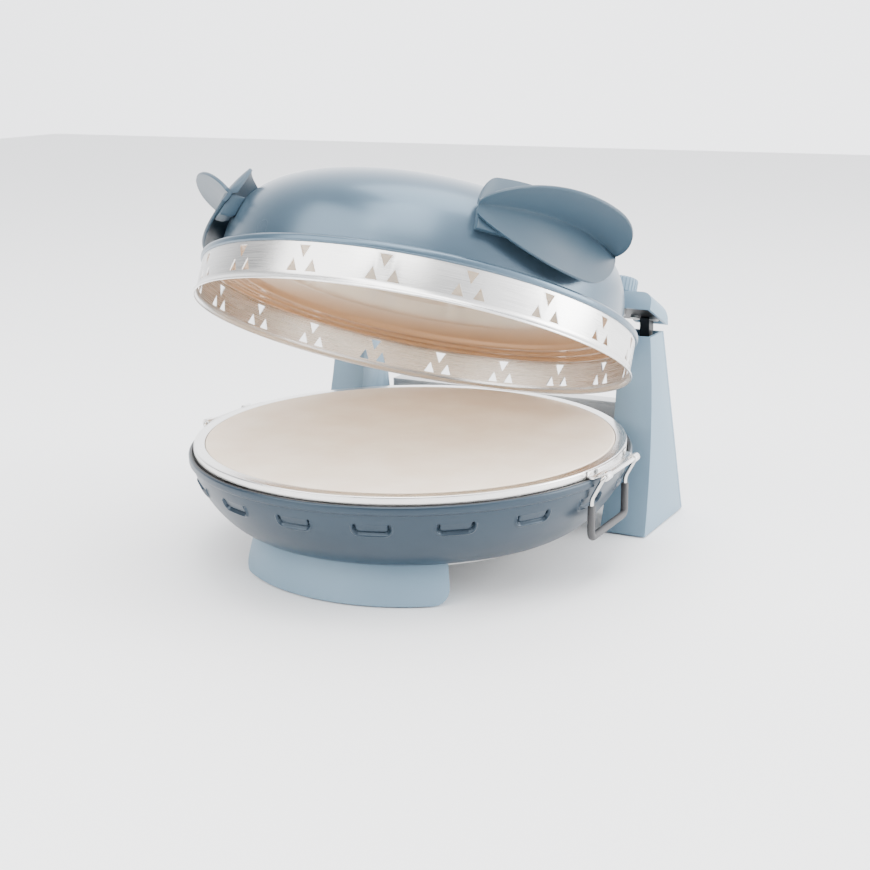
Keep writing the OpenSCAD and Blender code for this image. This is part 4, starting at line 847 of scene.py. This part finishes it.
# %% Sizes of the wings
WING_FRONT, WING_REAR = 51.5, 3.5  # degrees in front of straight sideways, at its two ends
WING_R, WING_CLOSE = 162, 10  # the spine's radius in front, and how far it closes in
WING_H, WING_RISE, WING_BOW = 71, 4.5, 6  # its height in front, its rise and its bow
BLADE_T, BLADE_TAPER, TIP_START, TIP_SPAN = 3, 0.1, 0.975, 0.0251  # the last three are shares
BLADE_STEPS, STEP_CROWDING = 14, 1.5  # points out along a blade, crowded towards its tip
WING_ROWS, WING_EDGE = 96, 0.6  # places along the spine; rounding of the edges
BLADES = (  # angle at the front and rear, width, its shares at the ends, crest, curl, power
    (44, 7, 34, 0.1, 0.1, 0.66, -1, 0.7),
    (-79.5, -68.5, 42, 0.19, 0.08, 0.6, 2, 0.85),
    (-246, -235, 26, 0.13, 0.6, 0.1, 3, 0.5))


# %% Spine and blades
def spine(s):
    """Direction in degrees, radius and height of the spine, for s from 0 in front to 1 at the
    rear: the first two change evenly, and the height is a straight rise plus a parabola."""
    return (-WING_FRONT + (WING_FRONT - WING_REAR) * s, WING_R - WING_CLOSE * s,
            WING_H + WING_RISE * s + WING_BOW * 4 * s * (1 - s))


def blade_width(s, blade):
    """Width along the spine: a sine's rise to the crest and a cosine's fall after it, both
    made fuller by a power below 1."""
    width, first, last, crest, _, power = blade[2:]
    rise = np.sin(np.pi / 2 * np.clip(s / crest, 0, 1)) ** power
    fall = np.clip(np.cos(np.pi / 2 * np.clip((s - crest) / (1 - crest), 0, 1)), 0, 1) ** power
    return width * np.where(s < crest, first + (1 - first) * rise, last + (1 - last) * fall)


def blade_outline(s, blade, following):
    """One blade's outline at each s: out along one side, round the tip, back along the other,
    and the corner where the following blade starts. The thickness shrinks a little outwards and
    ends in a half ellipse; the curl grows with the square of the way out."""
    angle = np.radians(blade[0] + (blade[1] - blade[0]) * s)[:, None]
    width = blade_width(s, blade)[:, None]
    t = 1 - (1 - np.linspace(1 / BLADE_STEPS, 1, BLADE_STEPS)) ** STEP_CROWDING
    tip = np.clip((t - TIP_START) / TIP_SPAN, 0, 1)
    half = (BLADE_T / 2 * (1 - BLADE_TAPER * t * t)
            * np.sqrt(np.clip(1 - tip ** 2, 0.001, 1)))
    d = 1 + (width - 1) * t
    curl = blade[6] * (d / width) ** 2
    sides = []
    for sign in (-1, 1):
        c = curl - sign * half
        side = np.stack([d * np.cos(angle) - c * np.sin(angle),
                         d * np.sin(angle) + c * np.cos(angle)], axis=-1)
        sides.append(side[:, ::-sign])
    turn = math.radians((blade[0] - following[0]) % 360)
    bisect = angle - turn / 2
    corner = BLADE_T / 2 / math.sin(turn / 2)
    sides.append(np.stack([corner * np.cos(bisect), corner * np.sin(bisect)], axis=-1))
    return np.concatenate(sides, axis=1)


# %% Wings
def make_wing(side, sign):
    """The outlines of the three blades, one after another, at places along the spine that are
    crowded at its ends, where the blades swell."""
    s = 0.5 - 0.5 * np.cos(np.linspace(0, np.pi, WING_ROWS))
    outline = np.concatenate([blade_outline(s, blade, following) for blade, following
                              in zip(BLADES, BLADES[1:] + BLADES[:1])], axis=1)
    way, r, z = (v[:, None] for v in spine(s))
    way, r, z = np.radians(way), r + outline[..., 0], z + outline[..., 1]
    points = np.stack([sign * r * np.cos(way), r * np.sin(way), z], axis=-1)
    piece = add_mesh(side + "_wing_blades", points, capped_faces(*z.shape), TIP)
    soften(piece, WING_EDGE, angle=60)
    shade(piece, angle=40)
    # The wing wears the darker copy of its plastic, which is painted shade.
    finish(piece, "lid", "blue_grey_plastic", side + "_wing", look="wing_plastic_painted_shade")


# %% [markdown]
# ## Wing lugs
#
# Two blocks carry each wing. They fill the space between the dome and the lower blade, so their
# two curved faces come from the formulas of these neighbours, and follow them a fraction of a
# millimetre away.

# %% Lugs
LUG_ANGLE, LUG_LOW, LUG_STARTS = 8, 54, (0.01, 0.68)  # width in degrees, foot, places along s
LUG_TOP, LUG_DOME_GAP, LUG_BLADE_GAP = 0.5, 0.3, 0.1  # LUG_TOP: below the spine
LUG_ROUND, LUG_ROUND_SHARE = 4.5, 5  # the foot's rounding, over a fifth of the height
LUG_RINGS, LUG_STEPS = 12, 10


def dome_radius(z):
    """Outer radius of the dome at height z, from its superellipse."""
    share = (z - DOME_Z) / (DOME_TOP - DOME_Z)
    return DOME_R * (1 - share ** DOME_SQUARE) ** (1 / DOME_SQUARE)


def lug_grid(start):
    """Rings of (direction, radius, height), each up along the dome and down along the blade."""
    lower = BLADES[1]
    s = np.linspace(start, start + LUG_ANGLE / (WING_FRONT - WING_REAR), LUG_RINGS)[:, None]
    way, r, top = spine(s)
    share = np.linspace(0, 1, LUG_STEPS)[None, :]
    z = LUG_LOW + (top - LUG_TOP - LUG_LOW) * share
    slope = np.radians(-lower[0] - (lower[1] - lower[0]) * s)
    reach = np.clip((top - z) / blade_width(s, lower), 0, 1)
    outside = (r + (top - z) / np.tan(slope) - BLADE_T / 2 / np.sin(slope)
               + lower[6] * reach ** 2 - LUG_BLADE_GAP)
    below = 1 - np.clip(share * LUG_ROUND_SHARE, 0, 1)
    inside = dome_radius(z) + LUG_DOME_GAP + LUG_ROUND * (1 - np.sqrt(1 - below ** 2))
    r = np.concatenate([inside, outside[:, ::-1]], axis=1)
    z = np.concatenate([z, z[:, ::-1]], axis=1)
    return np.radians(way), r, z


def make_lugs(side, sign):
    """Both lugs of a wing as one piece: two grids of rings with capped ends."""
    points, faces = [], []
    for start in LUG_STARTS:
        way, r, z = lug_grid(start)
        first = sum(p.size // 3 for p in points)
        points.append(np.stack([sign * r * np.cos(way), r * np.sin(way), z], axis=-1))
        faces += [[first + corner for corner in f] for f in capped_faces(*r.shape)]
    piece = add_mesh(side + "_wing_seats", np.concatenate(points), faces, TIP)
    soften(piece, WING_EDGE, angle=50)
    shade(piece, angle=40)
    # The lugs wear the same darker copy of the plastic, painted shade.
    finish(piece, "lid", "blue_grey_plastic", side + "_wing_lugs", look="wing_plastic_painted_shade")


# %% Both sides of the lid
for side, sign in (("left", -1), ("right", 1)):
    make_wing(side, sign)
    make_lugs(side, sign)
    rounded_copy(side + "_hinge_cap", side + "_hinge_cover", "lid", "blue_grey_plastic",
                 width=1.0)

# %% [markdown]
# ## Control knob
#
# The knob is a fluted cylinder. Its flutes are a cosine round the edge, cut off so that the
# ridges stay broad and the grooves narrow, and they fade towards the middle of its face.

# %% Knob
KNOB_R, KNOB_H, KNOB_X, KNOB_Y, KNOB_Z = 12, 12, 116.5, 112.5, 79.3
KNOB_ROUND = [SHARP, 0.5, 2.4, SHARP]
FLUTES, FLUTE_POINTS, FLUTE_DEPTH, FLUTE_CUT = 24, 12, 0.8, 0.1
FLUTE_IN, FLUTE_FADE = 3.5, 2  # how far in from the edge they reach, and fade out


def make_knob():
    """Radius over angle and height: a profile with a rounded shoulder, less the flutes."""
    box = [[0, 0], [KNOB_R, 0], [KNOB_R, KNOB_H], [0, KNOB_H]]
    profile = fillet(box, KNOB_ROUND, steps=9)
    angle = np.linspace(0, 2 * math.pi, FLUTES * FLUTE_POINTS + 1)
    groove = np.clip(np.cos(FLUTES * angle) - FLUTE_CUT, 0, 1) * FLUTE_DEPTH
    r, z = profile[:, 0, None], profile[:, 1, None]
    r = r - groove * np.clip((r - KNOB_R + FLUTE_IN) / FLUTE_FADE, 0, 1)
    points = np.stack([KNOB_X + r * np.cos(angle), KNOB_Y + r * np.sin(angle),
                       KNOB_Z + z + 0 * angle], axis=-1)
    piece = add_mesh("knob_cap", points, grid_faces(len(profile), len(angle), True, False), TIP)
    shade(piece, angle=40)
    finish(piece, "knob", "blue_grey_plastic", "control_knob")


make_knob()

# %% [markdown]
# ## Floor, light and camera
#
# A plain pale floor, a broad light from the front left, one from high in front, one from right
# above, and a low one behind on the right. A sky that is brighter behind the machine gives the
# metal something to reflect. The camera looks from the photograph's own angle and distance.

# %% Floor
FLOOR_SIZE, FLOOR_GREY, FLOOR_ROUGH = 8, 246, 0.6


def make_floor():
    """A large pale sheet just under the pads."""
    bpy.ops.mesh.primitive_plane_add(size=FLOOR_SIZE)
    floor = bpy.context.object
    floor.name = "studio_floor"
    material = bpy.data.materials.new("pale_floor")
    material.use_nodes = True
    shader = material.node_tree.nodes["Principled BSDF"]
    shader.inputs["Base Color"].default_value = linear(FLOOR_GREY, FLOOR_GREY, FLOOR_GREY)
    shader.inputs["Roughness"].default_value = FLOOR_ROUGH
    floor.data.materials.append(material)
    print("floor:", FLOOR_SIZE, "m square")


make_floor()


# %% Light
def add_light(name, place, aim_z, size, power):
    """A square area light that shines towards the axis at height aim_z; metres and watts."""
    data = bpy.data.lights.new(name, "AREA")
    data.size = size
    data.energy = power
    lamp = bpy.data.objects.new(name, data)
    bpy.context.scene.collection.objects.link(lamp)
    lamp.location = place
    aim = Vector((0, 0, aim_z)) - Vector(place)
    lamp.rotation_euler = aim.to_track_quat("-Z", "Y").to_euler()
    print(f"{name} light: {power} W from {aim.length:.1f} m")


add_light("key", (-1.1, -1.9, 1.5), 0.15, size=2.0, power=66)
add_light("front", (0.4, -1.4, 2.3), 0.15, size=1.5, power=50)
add_light("side", (2.0, 0.9, 0.8), 0.15, size=1.2, power=50)
add_light("top", (0.2, 0.2, 2.2), 0.1, size=1.6, power=42)

# %% Sky
SKY_COLOUR, SKY_TOWARD = (0.96, 0.97, 1.0, 1), (0.35, 0.93, 0.1)  # the way to its bright side
SKY_EDGES, SKY_DIM, SKY_BRIGHT = (-0.7, 0.7), 0.35, 3.6


def make_sky():
    """A pale sky that is bright behind the machine and dimmer in front of it, so that the
    metal's front and left sides keep their depth: a smooth step over the dot product of the
    direction with SKY_TOWARD."""
    world = bpy.data.worlds.new("studio")
    world.use_nodes = True
    nodes, links = world.node_tree.nodes, world.node_tree.links
    place = nodes.new("ShaderNodeTexCoord")
    toward = nodes.new("ShaderNodeVectorMath")
    toward.operation = "DOT_PRODUCT"
    toward.inputs[1].default_value = SKY_TOWARD
    ramp = nodes.new("ShaderNodeMapRange")
    ramp.interpolation_type = "SMOOTHSTEP"
    for name, value in zip(("From Min", "From Max", "To Min", "To Max"),
                           (*SKY_EDGES, SKY_DIM, SKY_BRIGHT)):
        ramp.inputs[name].default_value = value
    links.new(place.outputs["Generated"], toward.inputs[0])
    links.new(toward.outputs["Value"], ramp.inputs["Value"])
    background = nodes["Background"]
    background.inputs["Color"].default_value = SKY_COLOUR
    links.new(ramp.outputs["Result"], background.inputs["Strength"])
    bpy.context.scene.world = world


make_sky()
print("sky strength:", SKY_DIM, "to", SKY_BRIGHT)

# %% Camera
AZIMUTH, ELEVATION, ROLL = (math.radians(v) for v in (28.62, 14.96, -0.67))
CAMERA_PLACE = (0.55116, -0.97075, 0.38846)  # metres
LENS, SENSOR = 61.84, 36

back = Vector((math.sin(AZIMUTH) * math.cos(ELEVATION), -math.cos(AZIMUTH) * math.cos(ELEVATION),
               math.sin(ELEVATION)))
level = Vector((math.cos(AZIMUTH), math.sin(AZIMUTH), 0))
upright = back.cross(level)
right = level * math.cos(ROLL) + upright * math.sin(ROLL)
up = upright * math.cos(ROLL) - level * math.sin(ROLL)
turn = Matrix((right, up, back)).transposed().to_4x4()
camera_data = bpy.data.cameras.new("camera")
camera_data.lens = LENS
camera_data.sensor_width = SENSOR
camera = bpy.data.objects.new("camera", camera_data)
camera.matrix_world = Matrix.Translation(CAMERA_PLACE) @ turn
bpy.context.scene.collection.objects.link(camera)
bpy.context.scene.camera = camera
print(f"camera: {Vector(CAMERA_PLACE).length:.2f} m from the middle, lens {LENS} mm")
